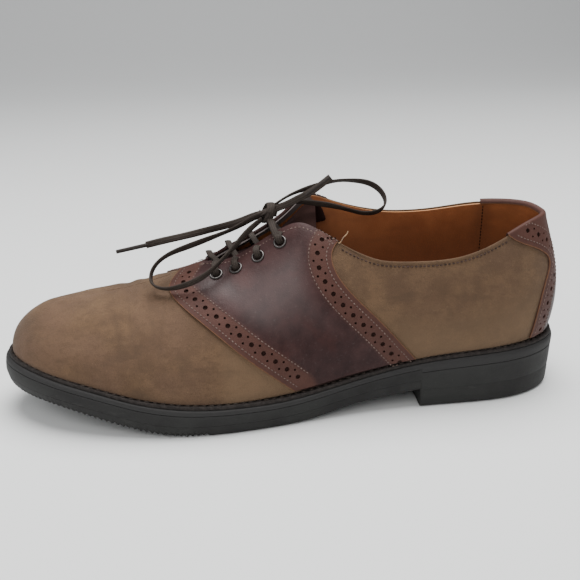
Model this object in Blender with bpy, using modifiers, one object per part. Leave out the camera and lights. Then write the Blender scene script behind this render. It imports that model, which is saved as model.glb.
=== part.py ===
"""A left saddle shoe on a moulded rubber sole, with its flat lace tied in a bow. Metres, +Z up, toe towards -Y."""

import math

import bmesh
import bpy
import numpy as np
from mathutils import Vector

# Driving sizes
SOLE_LENGTH = 0.306
BALL_WIDTH = 0.104
HEEL_STACK = 0.030
TOE_SPRING = 0.0155
BACK_RISE = 0.070
WALL = 0.0020
LAYER = 0.0012
WELT_THICK = 0.0018
WELT_SHOWS = 0.0024
WELT_HIDDEN = 0.0060
WELT_INSET = 0.0008
INSOLE_THICK = 0.0030
TONGUE_THICK = 0.0022
GAP = 0.0003
LAYER_GAP = 0.0005
EYELET_HOLE = 0.0046
EYELET_FLANGE = 0.0088
EYELET_LIP = 0.0007
EYELET_SEAT = 0.0006
EYELET_WALL = 0.00035
EYELET_SLOPE = 0.6
EYELET_SIDES = 10
CUTTER_LENGTH = 0.012
OVERLAY_FOOT = 0.02
TONGUE_GAP = 0.0009
TONGUE_CROWN = 0.03
TONGUE_TIP = (-0.005, 0.0, 0.0005)
TONGUE_HEIGHTS = (0.72, 0.80, 0.88, 0.95, 1.0)
VAMP_HEIGHTS = (0.72, 0.80, 0.88, 0.93, 0.97)
TONGUE_FEET = (0.660, 0.640, 0.625, 0.600, 0.570, 0.540, 0.510, 0.480, 0.450, 0.425, 0.405)
BAR_CLEAR = 0.0008
BAR_RISE = 0.0006
BAR_EDGE = 0.995
BAR_STEP = 1.6
LACE_STEP = 2.4
UPPER_STEPS = 10
HEEL_COLUMNS = 9
EDGE_MERGE = 1e-6
LACE_ROUND = 0.0024

# The heel breast and the flat spot under the ball, as shares of the sole's length
BREAST_FOOT = 0.276
BREAST_SLOPE = 0.018
BREAST_TOP = BREAST_FOOT + BREAST_SLOPE
FLAT_REAR = 0.540
FLAT_FRONT = 0.700

# Outline of the sole seen from above. Shares: along of SOLE_LENGTH, outer and inner of BALL_WIDTH, and
# how much of the rim shows beyond the upper, of WELT_SHOWS
OUTLINE = (
    # along, outer, inner, shows
    (0.000, 0.000, 0.000, 1.80),
    (0.012, 0.145, 0.145, 1.75),
    (0.045, 0.245, 0.242, 1.50),
    (0.100, 0.318, 0.310, 1.20),
    (0.165, 0.342, 0.334, 1.00),
    (BREAST_FOOT, 0.346, 0.322, 1.00),
    (BREAST_TOP, 0.347, 0.318, 1.00),
    (0.340, 0.354, 0.288, 1.20),
    (0.430, 0.386, 0.274, 1.40),
    (0.520, 0.434, 0.322, 1.40),
    (0.600, 0.470, 0.398, 1.10),
    (0.670, 0.482, 0.462, 1.00),
    (0.740, 0.466, 0.494, 1.00),
    (0.810, 0.422, 0.482, 0.90),
    (0.875, 0.352, 0.432, 0.80),
    (0.930, 0.258, 0.352, 0.70),
    (0.970, 0.150, 0.256, 0.90),
    (1.000, -0.050, 0.050, 1.30),
)
# Height of the rubber's top edge over the floor. Shares: along of SOLE_LENGTH, top of HEEL_STACK
SOLE_TOP = (
    # along, top
    (0.000, 1.007),
    (0.100, 0.993),
    (0.200, 0.947),
    (0.270, 0.887),
    (0.340, 0.780),
    (0.415, 0.640),
    (0.520, 0.487),
    (0.600, 0.477),
    (0.660, 0.497),
    (0.720, 0.550),
    (0.780, 0.650),
    (0.850, 0.820),
    (0.920, 0.947),
    (0.957, 1.007),
    (1.000, 1.040),
)
# Height of the tread over the floor in front of the heel. Shares: along of SOLE_LENGTH, under of TOE_SPRING
TREAD = (
    # along, under
    (BREAST_TOP, 0.632),
    (0.354, 0.503),
    (0.395, 0.400),
    (0.425, 0.284),
    (0.456, 0.155),
    (0.495, 0.039),
    (FLAT_REAR, 0.000),
    (FLAT_FRONT, 0.000),
    (0.745, 0.103),
    (0.800, 0.348),
    (0.875, 0.723),
    (0.937, 0.923),
    (1.000, 1.000),
)
# Side of the rubber, from the tread to the rim: outward in metres, and height as a share of the side
SOLE_SIDE = (
    # outward, height
    (-0.0026, 0.00),
    (-0.0008, 0.08),
    (-0.0006, 0.36),
    (-0.0010, 0.40),
    (-0.0002, 0.44),
    (0.0000, 0.74),
    (0.0006, 0.82),
    (0.0006, 0.92),
    (-0.0004, 1.00),
)

# Sections of the upper round each side, from the toe to the heel. Shares: foot (place on the sole's outline)
# and along of SOLE_LENGTH, across of BALL_WIDTH (outwards), up of BACK_RISE over the welt. The last four
# shape the section: how far its first handle leans out (share of BALL_WIDTH) and how high it is, and how
# far in and how high its second handle is (shares of the section's own width and height).
OUTER = (
    # foot, along, across, up, lean, low, reach, high
    (1.000, 0.900, -0.055, 0.370, 0.016, 0.36, 0.40, 0.99),
    (0.985, 0.896, -0.056, 0.378, 0.016, 0.36, 0.40, 0.99),
    (0.960, 0.887, -0.057, 0.392, 0.016, 0.38, 0.40, 0.99),
    (0.920, 0.868, -0.060, 0.424, 0.017, 0.42, 0.42, 0.99),
    (0.870, 0.838, -0.063, 0.482, 0.018, 0.44, 0.43, 0.99),
    (0.800, 0.790, -0.066, 0.581, 0.020, 0.45, 0.44, 0.99),
    (0.730, 0.735, -0.066, 0.691, 0.022, 0.46, 0.44, 0.99),
    (0.670, 0.685, -0.060, 0.787, 0.024, 0.46, 0.44, 0.98),
    (0.620, 0.648, -0.050, 0.855, 0.026, 0.46, 0.44, 0.97),
    (0.570, 0.602, 0.020, 0.905, 0.030, 0.46, 0.46, 0.95),
    (0.510, 0.548, 0.042, 1.035, 0.034, 0.45, 0.46, 0.93),
    (0.450, 0.497, 0.072, 1.140, 0.040, 0.44, 0.44, 0.90),
    (0.405, 0.467, 0.105, 1.103, 0.044, 0.42, 0.42, 0.86),
    (0.370, 0.434, 0.150, 1.005, 0.047, 0.41, 0.40, 0.82),
    (0.340, 0.400, 0.196, 0.907, 0.050, 0.40, 0.36, 0.78),
    (0.310, 0.355, 0.238, 0.809, 0.052, 0.38, 0.32, 0.74),
    (0.265, 0.300, 0.262, 0.766, 0.054, 0.37, 0.26, 0.72),
    (0.205, 0.222, 0.268, 0.756, 0.058, 0.36, 0.22, 0.72),
    (0.140, 0.150, 0.244, 0.827, 0.060, 0.36, 0.20, 0.72),
    (0.080, 0.092, 0.190, 0.919, 0.066, 0.40, 0.20, 0.72),
    (0.030, 0.048, 0.108, 0.950, 0.074, 0.43, 0.22, 0.72),
    (0.000, 0.032, 0.000, 0.935, 0.077, 0.45, 0.24, 0.72),
)
INNER = (
    # foot, along, across, up, lean, low, reach, high
    (1.000, 0.900, -0.055, 0.370, 0.016, 0.36, 0.40, 0.99),
    (0.985, 0.896, -0.056, 0.378, 0.016, 0.36, 0.40, 0.99),
    (0.960, 0.887, -0.057, 0.392, 0.016, 0.38, 0.40, 0.99),
    (0.920, 0.868, -0.060, 0.424, 0.017, 0.42, 0.42, 0.99),
    (0.870, 0.838, -0.063, 0.482, 0.018, 0.44, 0.43, 0.99),
    (0.800, 0.790, -0.066, 0.581, 0.020, 0.45, 0.44, 0.99),
    (0.730, 0.735, -0.066, 0.691, 0.022, 0.46, 0.44, 0.99),
    (0.670, 0.685, -0.060, 0.787, 0.024, 0.46, 0.44, 0.98),
    (0.620, 0.648, -0.050, 0.855, 0.022, 0.46, 0.44, 0.97),
    (0.570, 0.602, -0.115, 0.935, 0.016, 0.46, 0.46, 0.95),
    (0.510, 0.548, -0.132, 1.037, 0.010, 0.45, 0.46, 0.93),
    (0.450, 0.497, -0.150, 1.145, 0.008, 0.44, 0.44, 0.90),
    (0.405, 0.462, -0.172, 1.232, 0.010, 0.42, 0.42, 0.86),
    (0.370, 0.428, -0.198, 1.174, 0.016, 0.41, 0.40, 0.82),
    (0.340, 0.395, -0.222, 1.088, 0.024, 0.40, 0.36, 0.78),
    (0.310, 0.355, -0.244, 1.009, 0.032, 0.38, 0.32, 0.74),
    (0.265, 0.300, -0.262, 0.935, 0.044, 0.37, 0.26, 0.72),
    (0.205, 0.222, -0.266, 0.910, 0.054, 0.36, 0.22, 0.72),
    (0.140, 0.150, -0.242, 0.938, 0.058, 0.36, 0.20, 0.72),
    (0.080, 0.092, -0.188, 0.955, 0.066, 0.40, 0.20, 0.72),
    (0.030, 0.048, -0.108, 0.955, 0.074, 0.43, 0.22, 0.72),
    (0.000, 0.032, 0.000, 0.935, 0.077, 0.45, 0.24, 0.72),
)
THROAT_ROW = 8
FACING_TOP_ROW = 12

# Edges of the saddle on the upper: height up the section, and the foot share of each edge
SADDLE_EDGES = (
    # height, front, rear
    (0.00, 0.502, 0.285),
    (0.20, 0.566, 0.316),
    (0.40, 0.624, 0.356),
    (0.58, 0.669, 0.398),
    (0.72, 0.697, 0.400),
    (0.86, 0.703, 0.380),
    (1.00, 0.672, 0.357),
)
# Edge of the counter on the upper: height up the section, and the foot share of its front edge
COUNTER_EDGE = (
    # height, front
    (0.00, 0.069),
    (0.20, 0.064),
    (0.37, 0.054),
    (0.50, 0.040),
    (0.60, 0.033),
    (0.70, 0.046),
    (0.80, 0.074),
    (0.90, 0.098),
    (1.00, 0.114),
)
# Eyelets of one side, from the top one down: foot share and height up the section
EYELETS = (
    # foot, height
    (0.484, 0.885),
    (0.525, 0.875),
    (0.568, 0.870),
    (0.606, 0.840),
)

# The bow: along, across and up of each point, in metres
KNOT = (0.1630, -0.0030, 0.1034)
KNOT_RADIUS = 0.0046
LACE_ROUTES = {
    "lace_loop_front": (
        (0.1681, -0.0015, 0.1026),
        (0.1780, -0.0025, 0.0974),
        (0.1923, -0.0030, 0.0916),
        (0.2068, -0.0020, 0.0870),
        (0.2187, 0.0000, 0.0828),
        (0.2248, 0.0020, 0.0778),
        (0.2268, 0.0050, 0.0735),
        (0.2258, 0.0090, 0.0708),
        (0.2208, 0.0125, 0.0696),
        (0.2137, 0.0160, 0.0712),
        (0.2061, 0.0175, 0.0740),
        (0.1990, 0.0174, 0.0776),
        (0.1910, 0.0134, 0.0829),
        (0.1811, 0.0062, 0.0899),
        (0.1735, 0.0024, 0.0964),
        (0.1666, -0.0001, 0.1010),
    ),
    "lace_loop_rear": (
        (0.1579, -0.0036, 0.1044),
        (0.1503, -0.0050, 0.1076),
        (0.1391, -0.0053, 0.1073),
        (0.1296, -0.0073, 0.1050),
        (0.1170, -0.0102, 0.1007),
        (0.1069, -0.0140, 0.0972),
        (0.0981, -0.0170, 0.0976),
        (0.0940, -0.0215, 0.1004),
        (0.0950, -0.0260, 0.1050),
        (0.1007, -0.0290, 0.1094),
        (0.1102, -0.0290, 0.1118),
        (0.1201, -0.0260, 0.1130),
        (0.1305, -0.0200, 0.1132),
        (0.1406, -0.0146, 0.1124),
        (0.1502, -0.0104, 0.1104),
        (0.1595, -0.0060, 0.1064),
    ),
    "lace_end_front": (
        (0.1680, -0.0054, 0.1044),
        (0.1774, -0.0080, 0.1002),
        (0.1916, -0.0090, 0.0952),
        (0.2062, -0.0090, 0.0914),
        (0.2207, -0.0090, 0.0884),
        (0.2282, -0.0090, 0.0868),
    ),
    "lace_end_rear": (
        (0.1591, -0.0009, 0.1062),
        (0.1537, 0.0000, 0.1084),
        (0.1480, 0.0004, 0.1112),
        (0.1424, 0.0008, 0.1140),
    ),
}
AGLETS = {
    "aglet_front": ((0.2286, -0.0090, 0.0867), (0.2442, -0.0090, 0.0838)),
    "aglet_rear": ((0.1420, 0.0008, 0.1142), (0.1300, 0.0012, 0.1228)),
}
AGLET_ROUND = 0.0022

OUTER_SIDE = 1
INNER_SIDE = -1
SIDES = (OUTER_SIDE, INNER_SIDE)
SIDE_NAMES = {OUTER_SIDE: "outer", INNER_SIDE: "inner"}

MATERIALS = {
    # name: colour, roughness, metallic
    "rubber": ((0.030, 0.027, 0.025), 0.55, 0.0),
    "welt_leather": ((0.045, 0.028, 0.020), 0.60, 0.0),
    "nubuck": ((0.200, 0.130, 0.080), 0.90, 0.0),
    "oxblood_leather": ((0.085, 0.030, 0.028), 0.32, 0.0),
    "lining_leather": ((0.380, 0.130, 0.045), 0.55, 0.0),
    "eyelet_metal": ((0.220, 0.190, 0.180), 0.35, 1.0),
    "lace_cotton": ((0.035, 0.025, 0.018), 0.80, 0.0),
}


def clear_scene():
    for obj in list(bpy.data.objects):
        bpy.data.objects.remove(obj, do_unlink=True)


def material(name):
    found = bpy.data.materials.get(name)
    if found:
        return found
    colour, roughness, metallic = MATERIALS[name]
    made = bpy.data.materials.new(name)
    made.use_nodes = True
    shader = made.node_tree.nodes["Principled BSDF"]
    shader.inputs["Base Color"].default_value = (*colour, 1.0)
    shader.inputs["Roughness"].default_value = roughness
    shader.inputs["Metallic"].default_value = metallic
    return made


class Curve:
    """A smooth cubic curve through values at rising knots. A closed one joins its last knot to its first."""

    def __init__(self, knots, values, closed=False):
        self.knots = np.asarray(knots, float)
        self.values = np.asarray(values, float)
        self.closed = closed
        count = len(self.values)
        steps = np.diff(self.knots)
        rows = np.eye(count)
        right = np.zeros_like(self.values)
        inner = range(count) if closed else range(1, count - 1)
        for i in inner:
            before = steps[i - 1]
            after = steps[i]
            ahead = self.values[(i + 1) % count]
            behind = self.values[i - 1]
            rows[i, i - 1] = before
            rows[i, i] = 2 * (before + after)
            rows[i, (i + 1) % count] = after
            right[i] = 6 * ((ahead - self.values[i]) / after - (self.values[i] - behind) / before)
        self.bends = np.linalg.solve(rows, right)

    def __call__(self, place):
        if self.closed:
            span = self.knots[-1] - self.knots[0]
            place = self.knots[0] + (place - self.knots[0]) % span
        i = int(np.clip(np.searchsorted(self.knots, place, side="right") - 1, 0, len(self.knots) - 2))
        j = (i + 1) % len(self.values)
        step = self.knots[i + 1] - self.knots[i]
        b = (place - self.knots[i]) / step
        a = 1 - b
        bend = ((a**3 - a) * self.bends[i] + (b**3 - b) * self.bends[j]) * step**2 / 6
        return a * self.values[i] + b * self.values[j] + bend


def column(table, place):
    return np.array([row[place] for row in table], float)


def table_curve(table, size):
    return Curve(column(table, 0), column(table, 1) * size)


top_height = table_curve(SOLE_TOP, HEEL_STACK)
tread_height = table_curve(TREAD, TOE_SPRING)


class Ring:
    """The sole's outline as one closed curve. Its rungs are the rows of OUTLINE, from the back to the toe tip."""

    def __init__(self):
        self.last = len(OUTLINE) - 1
        outer = [(a * SOLE_LENGTH, o * BALL_WIDTH) for a, o, _, _ in OUTLINE]
        inner = [(a * SOLE_LENGTH, -i * BALL_WIDTH) for a, _, i, _ in OUTLINE[-2:0:-1]]
        points = np.array(outer + inner)
        chords = np.linalg.norm(np.roll(points, -1, axis=0) - points, axis=1)
        self.knots = np.concatenate([[0], np.cumsum(chords)])
        self.curve = Curve(self.knots, points, closed=True)
        self.shares = column(OUTLINE, 0)

    def length_at(self, side, rung):
        place = rung if side == OUTER_SIDE else 2 * self.last - rung
        return np.interp(place, np.arange(len(self.knots)), self.knots)

    def point(self, side, rung, outward=0.0):
        """Along and across of the outline, moved outwards."""
        place = self.length_at(side, rung)
        nudge = 0.0004
        ahead = self.curve(place + nudge) - self.curve(place - nudge)
        ahead /= np.linalg.norm(ahead)
        normal = np.array([-ahead[1], ahead[0]])
        return self.curve(place) + normal * outward

    def rung(self, share):
        return float(np.interp(share, self.shares, np.arange(len(self.shares))))

    def share(self, rung):
        return float(np.interp(rung, np.arange(len(self.shares)), self.shares))

    def run(self, share):
        """Length along the outer side from the back, by which sections of both sides are spread."""
        return self.length_at(OUTER_SIDE, self.rung(share))

    def shown(self, rung):
        """How far the rim shows beyond the upper at a rung."""
        return WELT_SHOWS * float(np.interp(rung, np.arange(len(OUTLINE)), column(OUTLINE, 3)))


RING = Ring()
RIM = max(row[0] for row in SOLE_SIDE)
WIDEST = [max(RING.point(side, rung)[1] * side for rung in np.linspace(8, 15, 71)) for side in SIDES]
SIDE_SHIFT = (WIDEST[0] - WIDEST[1]) / 2


def place(along, across, up):
    """Where a point of the shoe lies in the scene: toe towards -Y, outer side towards +X."""
    return Vector((across - SIDE_SHIFT, MIDDLE - along, up))


def welt_top(along):
    return top_height(along / SOLE_LENGTH) + GAP + WELT_THICK


def rungs(*stops):
    """Rungs of the outline: pairs of a share and the number of steps up to it."""
    found = [0.0]
    for share, steps in stops:
        found += list(np.linspace(found[-1], RING.rung(share), steps + 1)[1:])
    return found


def around(found):
    """The same rungs as one ring: up the outer side to the toe tip and back down the inner side."""
    outer = [(OUTER_SIDE, rung) for rung in found]
    inner = [(INNER_SIDE, rung) for rung in found[-2:0:-1]]
    return outer + inner


def new_object(name, mesh, finish):
    obj = bpy.data.objects.new(name, mesh)
    bpy.context.scene.collection.objects.link(obj)
    mesh.materials.append(material(finish))
    return obj


def face_outwards(bm):
    """Turns an open surface so that its faces look away from its middle."""
    middle = sum((v.co for v in bm.verts), Vector()) / len(bm.verts)
    outwards = sum(f.calc_area() * f.normal.dot(f.calc_center_median() - middle) for f in bm.faces)
    if outwards < 0:
        bmesh.ops.reverse_faces(bm, faces=bm.faces)


def mesh_from(name, finish, build):
    """An object whose mesh is filled in by build(bm)."""
    mesh = bpy.data.meshes.new(name)
    bm = bmesh.new()
    build(bm)
    bmesh.ops.remove_doubles(bm, verts=bm.verts, dist=EDGE_MERGE)
    bmesh.ops.recalc_face_normals(bm, faces=bm.faces)
    face_outwards(bm)
    bm.to_mesh(mesh)
    bm.free()
    return new_object(name, mesh, finish)


def skin(bm, rows, closed=False):
    """Quads between each row of points and the next. Closed rows join their ends."""
    verts = [[bm.verts.new(point) for point in row] for row in rows]
    for low, high in zip(verts, verts[1:]):
        pairs = list(zip(low, high))
        ends = pairs[1:] + pairs[:1] if closed else pairs[1:]
        for (a, b), (d, c) in zip(pairs, ends):
            corners = list(dict.fromkeys((a, d, c, b)))
            bm.faces.new(corners)
    return verts


def ladder(bm, ring):
    """Fills a ring of vertices with a strip of faces from its outer side to its inner side."""
    count = len(ring)
    half = count // 2
    for i in range(half):
        corners = (ring[i], ring[i + 1], ring[(count - i - 1) % count], ring[(count - i) % count])
        bm.faces.new(list(dict.fromkeys(corners)))


def solidify(obj, thickness, outwards):
    shell = obj.modifiers.new("wall", "SOLIDIFY")
    shell.thickness = thickness
    shell.offset = 1.0 if outwards else -1.0
    shell.use_even_offset = True
    shell.use_quality_normals = True
    return shell


def under_height(rung):
    """Height of the tread at a rung of the outline: the heel block stands on the floor behind its breast."""
    share = np.interp(rung, np.arange(len(RING.shares)), RING.shares)
    if share <= BREAST_FOOT + 1e-9:
        return 0.0
    return max(float(tread_height(share)), 0.0)


def make_outsole():
    """Forepart, arch and heel block in one moulded piece, with a raised middle inside the welt."""
    found = rungs((BREAST_FOOT, 9), (BREAST_TOP, 1), (FLAT_REAR, 6), (FLAT_FRONT, 3), (1.0, 11))
    ring = around(found)

    def build(bm):
        rows = []
        for outward, share in SOLE_SIDE:
            row = []
            for side, rung in ring:
                along, across = RING.point(side, rung, outward)
                top = top_height(along / SOLE_LENGTH)
                low = under_height(rung)
                row.append(place(along, across, low + (top - low) * share))
            rows.append(row)
        for rise in (0.0, GAP + WELT_THICK):
            row = []
            for side, rung in ring:
                inward = -(RING.shown(rung) + WELT_HIDDEN + 2 * GAP)
                along, across = RING.point(side, rung, inward)
                row.append(place(along, across, top_height(along / SOLE_LENGTH) + rise))
            rows.append(row)
        verts = skin(bm, rows, closed=True)
        ladder(bm, verts[0])
        ladder(bm, verts[-1])

    return mesh_from("outsole", "rubber", build)


def make_welt():
    """A flat strip on the rubber's rim, which shows all round under the upper."""
    ring = around(rungs((0.12, 6), (0.56, 9), (1.0, 15)))
    corners = ((0, 0.0), (0, WELT_THICK), (1, WELT_THICK), (1, 0.0), (0, 0.0))

    def build(bm):
        rows = []
        for inside, rise in corners:
            row = []
            for side, rung in ring:
                outward = -(RING.shown(rung) + WELT_HIDDEN) if inside else -WELT_INSET
                along, across = RING.point(side, rung, outward)
                row.append(place(along, across, top_height(along / SOLE_LENGTH) + GAP + rise))
            rows.append(row)
        skin(bm, rows, closed=True)

    return mesh_from("welt", "welt_leather", build)


def make_insole():
    """The footbed, inside the foot of the upper's wall."""
    ring = around(rungs((0.12, 6), (0.56, 9), (1.0, 14)))

    def build(bm):
        rows = []
        for rise in (GAP, GAP + INSOLE_THICK):
            row = []
            for side, rung in ring:
                inward = -(RING.shown(rung) + WALL + 2 * LAYER_GAP)
                along, across = RING.point(side, rung, inward)
                row.append(place(along, across, welt_top(along) + rise))
            rows.append(row)
        verts = skin(bm, rows, closed=True)
        ladder(bm, verts[0])
        ladder(bm, verts[-1])

    return mesh_from("insole", "lining_leather", build)


class Side:
    """One side of the upper: a section stands on each place of the feather line and ends on the top line."""

    def __init__(self, side, table):
        self.side = side
        self.rows = np.arange(len(table), dtype=float)
        self.runs = np.array([-RING.run(row[0]) for row in table])
        self.throat = table[THROAT_ROW][0]
        tops = np.array([row[1:4] for row in table], float)
        self.ridge = Curve(self.rows[: THROAT_ROW + 1], tops[: THROAT_ROW + 1])
        self.edge = Curve(self.rows[THROAT_ROW:], tops[THROAT_ROW:])
        self.shape = Curve(self.rows, np.array([row[4:] for row in table], float))

    def section(self, foot):
        """The section's four handles: feather, outward lean, inward reach and top."""
        row = float(np.interp(-RING.run(foot), self.runs, self.rows))
        along, across, up = (self.ridge if row <= THROAT_ROW else self.edge)(row)
        lean, low, reach, high = self.shape(row)
        rung = RING.rung(foot)
        shows = RING.shown(rung)
        feather = RING.point(self.side, rung, -shows)
        outside = RING.point(self.side, rung, -shows + lean * BALL_WIDTH)
        ground = welt_top(foot * SOLE_LENGTH) + GAP
        rise = up * BACK_RISE
        top = np.array([along * SOLE_LENGTH, across * BALL_WIDTH])
        inside = feather + (top - feather) * reach
        return np.array([
            (*feather, welt_top(feather[0]) + GAP),
            (*outside, ground + low * rise),
            (*inside, ground + high * rise),
            (*top, ground + rise),
        ])

    def raw(self, foot, height):
        handles = self.section(foot)
        a = 1 - height
        weights = np.array([a**3, 3 * a**2 * height, 3 * a * height**2, height**3])
        return weights @ handles

    def normal(self, foot, height):
        """Outward direction of the face. On the ridge in front of the throat it has no part across."""
        nudge = 0.004
        ahead = self.raw(min(foot + nudge, 1.0), height) - self.raw(max(foot - nudge, 0.0), height)
        if height > 1 - EDGE_MERGE and foot > self.throat - EDGE_MERGE:
            found = np.cross(ahead, (0.0, 1.0, 0.0))
        else:
            low, high = max(height - nudge, 0.0), min(height + nudge, 1.0)
            rise = self.raw(foot, high) - self.raw(foot, low)
            found = np.cross(rise, ahead) * self.side
        if foot < EDGE_MERGE:
            found[1] = 0.0
        return found / np.linalg.norm(found)

    def at(self, foot, height, lift=0.0):
        """A point of the upper's outer face, lifted off it along its normal."""
        return self.raw(foot, height) + self.normal(foot, height) * lift


UPPER = {OUTER_SIDE: Side(OUTER_SIDE, OUTER), INNER_SIDE: Side(INNER_SIDE, INNER)}
BACKMOST = min(UPPER[OUTER_SIDE].at(0.0, h, LAYER_GAP + LAYER)[0] for h in np.linspace(0, 1, 51))
MIDDLE = (SOLE_LENGTH + RIM + min(BACKMOST, -RIM)) / 2
THROAT_FOOT = OUTER[THROAT_ROW][0]
FACING_TOP_FOOT = OUTER[FACING_TOP_ROW][0]


def upper_feet():
    """Foot shares of the upper's sections, from the toe tip to the back."""
    feet = [OUTER[0][0], OUTER[1][0]]
    for ahead, behind in zip(OUTER[2:-3], OUTER[3:-2]):
        feet += [ahead[0], (ahead[0] + behind[0]) / 2]
    return feet + [RING.share(rung) for rung in np.linspace(RING.rung(OUTER[-3][0]), 0, HEEL_COLUMNS)]


def make_upper():
    """Vamp and quarters as one hollow shell, open at the collar, the throat and underneath."""
    heights = np.linspace(0, 1, UPPER_STEPS + 1)
    columns = []
    for foot in upper_feet():
        columns.append([place(*UPPER[OUTER_SIDE].at(foot, h)) for h in heights])
    for foot in upper_feet()[-2:0:-1]:
        columns.append([place(*UPPER[INNER_SIDE].at(foot, h)) for h in heights])

    obj = mesh_from("upper", "nubuck", lambda bm: skin(bm, columns + columns[:1]))
    solidify(obj, WALL, outwards=False)
    return obj


saddle_edges = Curve(column(SADDLE_EDGES, 0), np.array([row[1:] for row in SADDLE_EDGES]))
counter_edge = Curve(column(COUNTER_EDGE, 0), column(COUNTER_EDGE, 1))
ON_UPPER = LAYER_GAP
ON_SADDLE = LAYER_GAP + LAYER


def overlay_heights(steps):
    """Heights up the section for an overlay, which starts just clear of the welt."""
    return np.linspace(OVERLAY_FOOT, 1, steps + 1)


def make_saddle():
    """The band over the waist and across the foot of the throat, as one piece on both sides."""
    front_top, rear_top = saddle_edges(1.0)
    to_throat = (front_top - THROAT_FOOT) / (front_top - rear_top)
    shares = list(np.linspace(0, to_throat, 3)) + list(np.linspace(to_throat, 1, 12)[1:])
    heights = overlay_heights(UPPER_STEPS)

    def build(bm):
        for side in SIDES:
            columns = []
            for share in shares:
                column_points = []
                for h in heights:
                    front, rear = saddle_edges(h)
                    foot = front + (rear - front) * share
                    column_points.append(place(*UPPER[side].at(foot, h, ON_UPPER)))
                columns.append(column_points)
            skin(bm, columns)

    obj = mesh_from("saddle", "oxblood_leather", build)
    solidify(obj, LAYER, outwards=True)
    return obj


def make_counter():
    """The piece round the back of the heel, narrow at its middle and wide at the collar."""
    heights = overlay_heights(UPPER_STEPS)
    shares = np.linspace(1, -1, 13)

    def build(bm):
        columns = []
        for share in shares:
            side = OUTER_SIDE if share >= 0 else INNER_SIDE
            feet = [RING.share(abs(share) * RING.rung(counter_edge(h))) for h in heights]
            columns.append([place(*UPPER[side].at(foot, h, ON_UPPER)) for foot, h in zip(feet, heights)])
        skin(bm, columns)

    obj = mesh_from("counter", "oxblood_leather", build)
    solidify(obj, LAYER, outwards=True)
    return obj


def tongue_row(foot, depth):
    """A row of the tongue from the outer side to the inner side, at a depth under the upper's outer face."""
    heights = TONGUE_HEIGHTS if foot < THROAT_FOOT else VAMP_HEIGHTS
    outer = [UPPER[OUTER_SIDE].at(foot, h, -depth) for h in heights]
    inner = [UPPER[INNER_SIDE].at(foot, h, -depth) for h in heights]
    if foot < THROAT_FOOT:
        middle = (outer[-1] + inner[-1]) / 2
        middle[2] += np.linalg.norm(outer[-1] - inner[-1]) * TONGUE_CROWN
    else:
        middle = UPPER[OUTER_SIDE].at(foot, 1.0, -depth)
    return outer + [middle] + inner[::-1]


def make_tongue():
    """The tongue, from under the vamp up past the facings' tops."""
    faces = []
    for depth in (WALL + TONGUE_GAP, WALL + TONGUE_GAP + TONGUE_THICK):
        rows = [tongue_row(foot, depth) for foot in TONGUE_FEET]
        rows.append([point + np.array(TONGUE_TIP) for point in rows[-1]])
        faces.append([[place(*point) for point in row] for row in rows])

    def build(bm):
        skin(bm, faces[0])
        skin(bm, faces[1])
        for row in (0, -1):
            skin(bm, [faces[0][row], faces[1][row]])
        for end in (0, -1):
            skin(bm, [[row[end] for row in face] for face in faces])

    return mesh_from("tongue", "oxblood_leather", build)


def at_eyelet(side, foot, height, lift=0.0):
    """Place and outward direction of an eyelet."""
    spot = place(*UPPER[side].at(foot, height, lift))
    out = place(*UPPER[side].at(foot, height, lift + GAP)) - spot
    return spot, out.normalized()


def make_eyelet_cutter():
    """All the eyelets' holes as one cutter."""
    mesh = bpy.data.meshes.new("eyelet_cutter")
    bm = bmesh.new()
    for side in SIDES:
        for foot, height in EYELETS:
            spot, out = at_eyelet(side, foot, height)
            turn = out.to_track_quat("Z", "Y").to_matrix().to_4x4()
            turn.translation = spot
            bmesh.ops.create_cone(
                bm, cap_ends=True, segments=EYELET_SIDES, radius1=EYELET_HOLE / 2, radius2=EYELET_HOLE / 2,
                depth=CUTTER_LENGTH, matrix=turn,
            )
    bm.to_mesh(mesh)
    bm.free()
    cutter = bpy.data.objects.new("eyelet_cutter", mesh)
    bpy.context.scene.collection.objects.link(cutter)
    cutter.hide_render = True
    cutter.display_type = "WIRE"
    return cutter


def cut(obj, cutter):
    hole = obj.modifiers.new("eyelet_holes", "BOOLEAN")
    hole.operation = "DIFFERENCE"
    hole.solver = "EXACT"
    hole.object = cutter


def make_eyelet(name, spot, out):
    """A turned ring: a flange on the saddle and a barrel through it and the upper."""
    outside = EYELET_HOLE / 2 - GAP
    inside = outside - EYELET_WALL
    seat = ON_SADDLE + EYELET_SEAT
    profile = (
        (inside, -WALL),
        (outside, -WALL),
        (outside, seat),
        (EYELET_FLANGE / 2, seat),
        (EYELET_FLANGE / 2 - EYELET_LIP * EYELET_SLOPE, seat + EYELET_LIP),
        (inside, seat + EYELET_LIP),
    )
    mesh = bpy.data.meshes.new(name)
    bm = bmesh.new()
    verts = [bm.verts.new((radius, 0, height)) for radius, height in profile]
    for a, b in zip(verts, verts[1:] + verts[:1]):
        bm.edges.new((b, a))
    bm.to_mesh(mesh)
    bm.free()
    obj = new_object(name, mesh, "eyelet_metal")
    obj.location = spot
    obj.rotation_mode = "QUATERNION"
    obj.rotation_quaternion = out.to_track_quat("Z", "Y")
    spin = obj.modifiers.new("turn", "SCREW")
    spin.steps = EYELET_SIDES
    spin.render_steps = EYELET_SIDES
    spin.use_merge_vertices = True
    spin.merge_threshold = EDGE_MERGE
    spin.use_normal_calculate = True
    spin.use_normal_flip = True
    return obj


def make_eyelets():
    for side in SIDES:
        for number, (foot, height) in enumerate(EYELETS, 1):
            spot, out = at_eyelet(side, foot, height)
            make_eyelet(f"eyelet_{SIDE_NAMES[side]}_{number}", spot, out)


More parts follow.
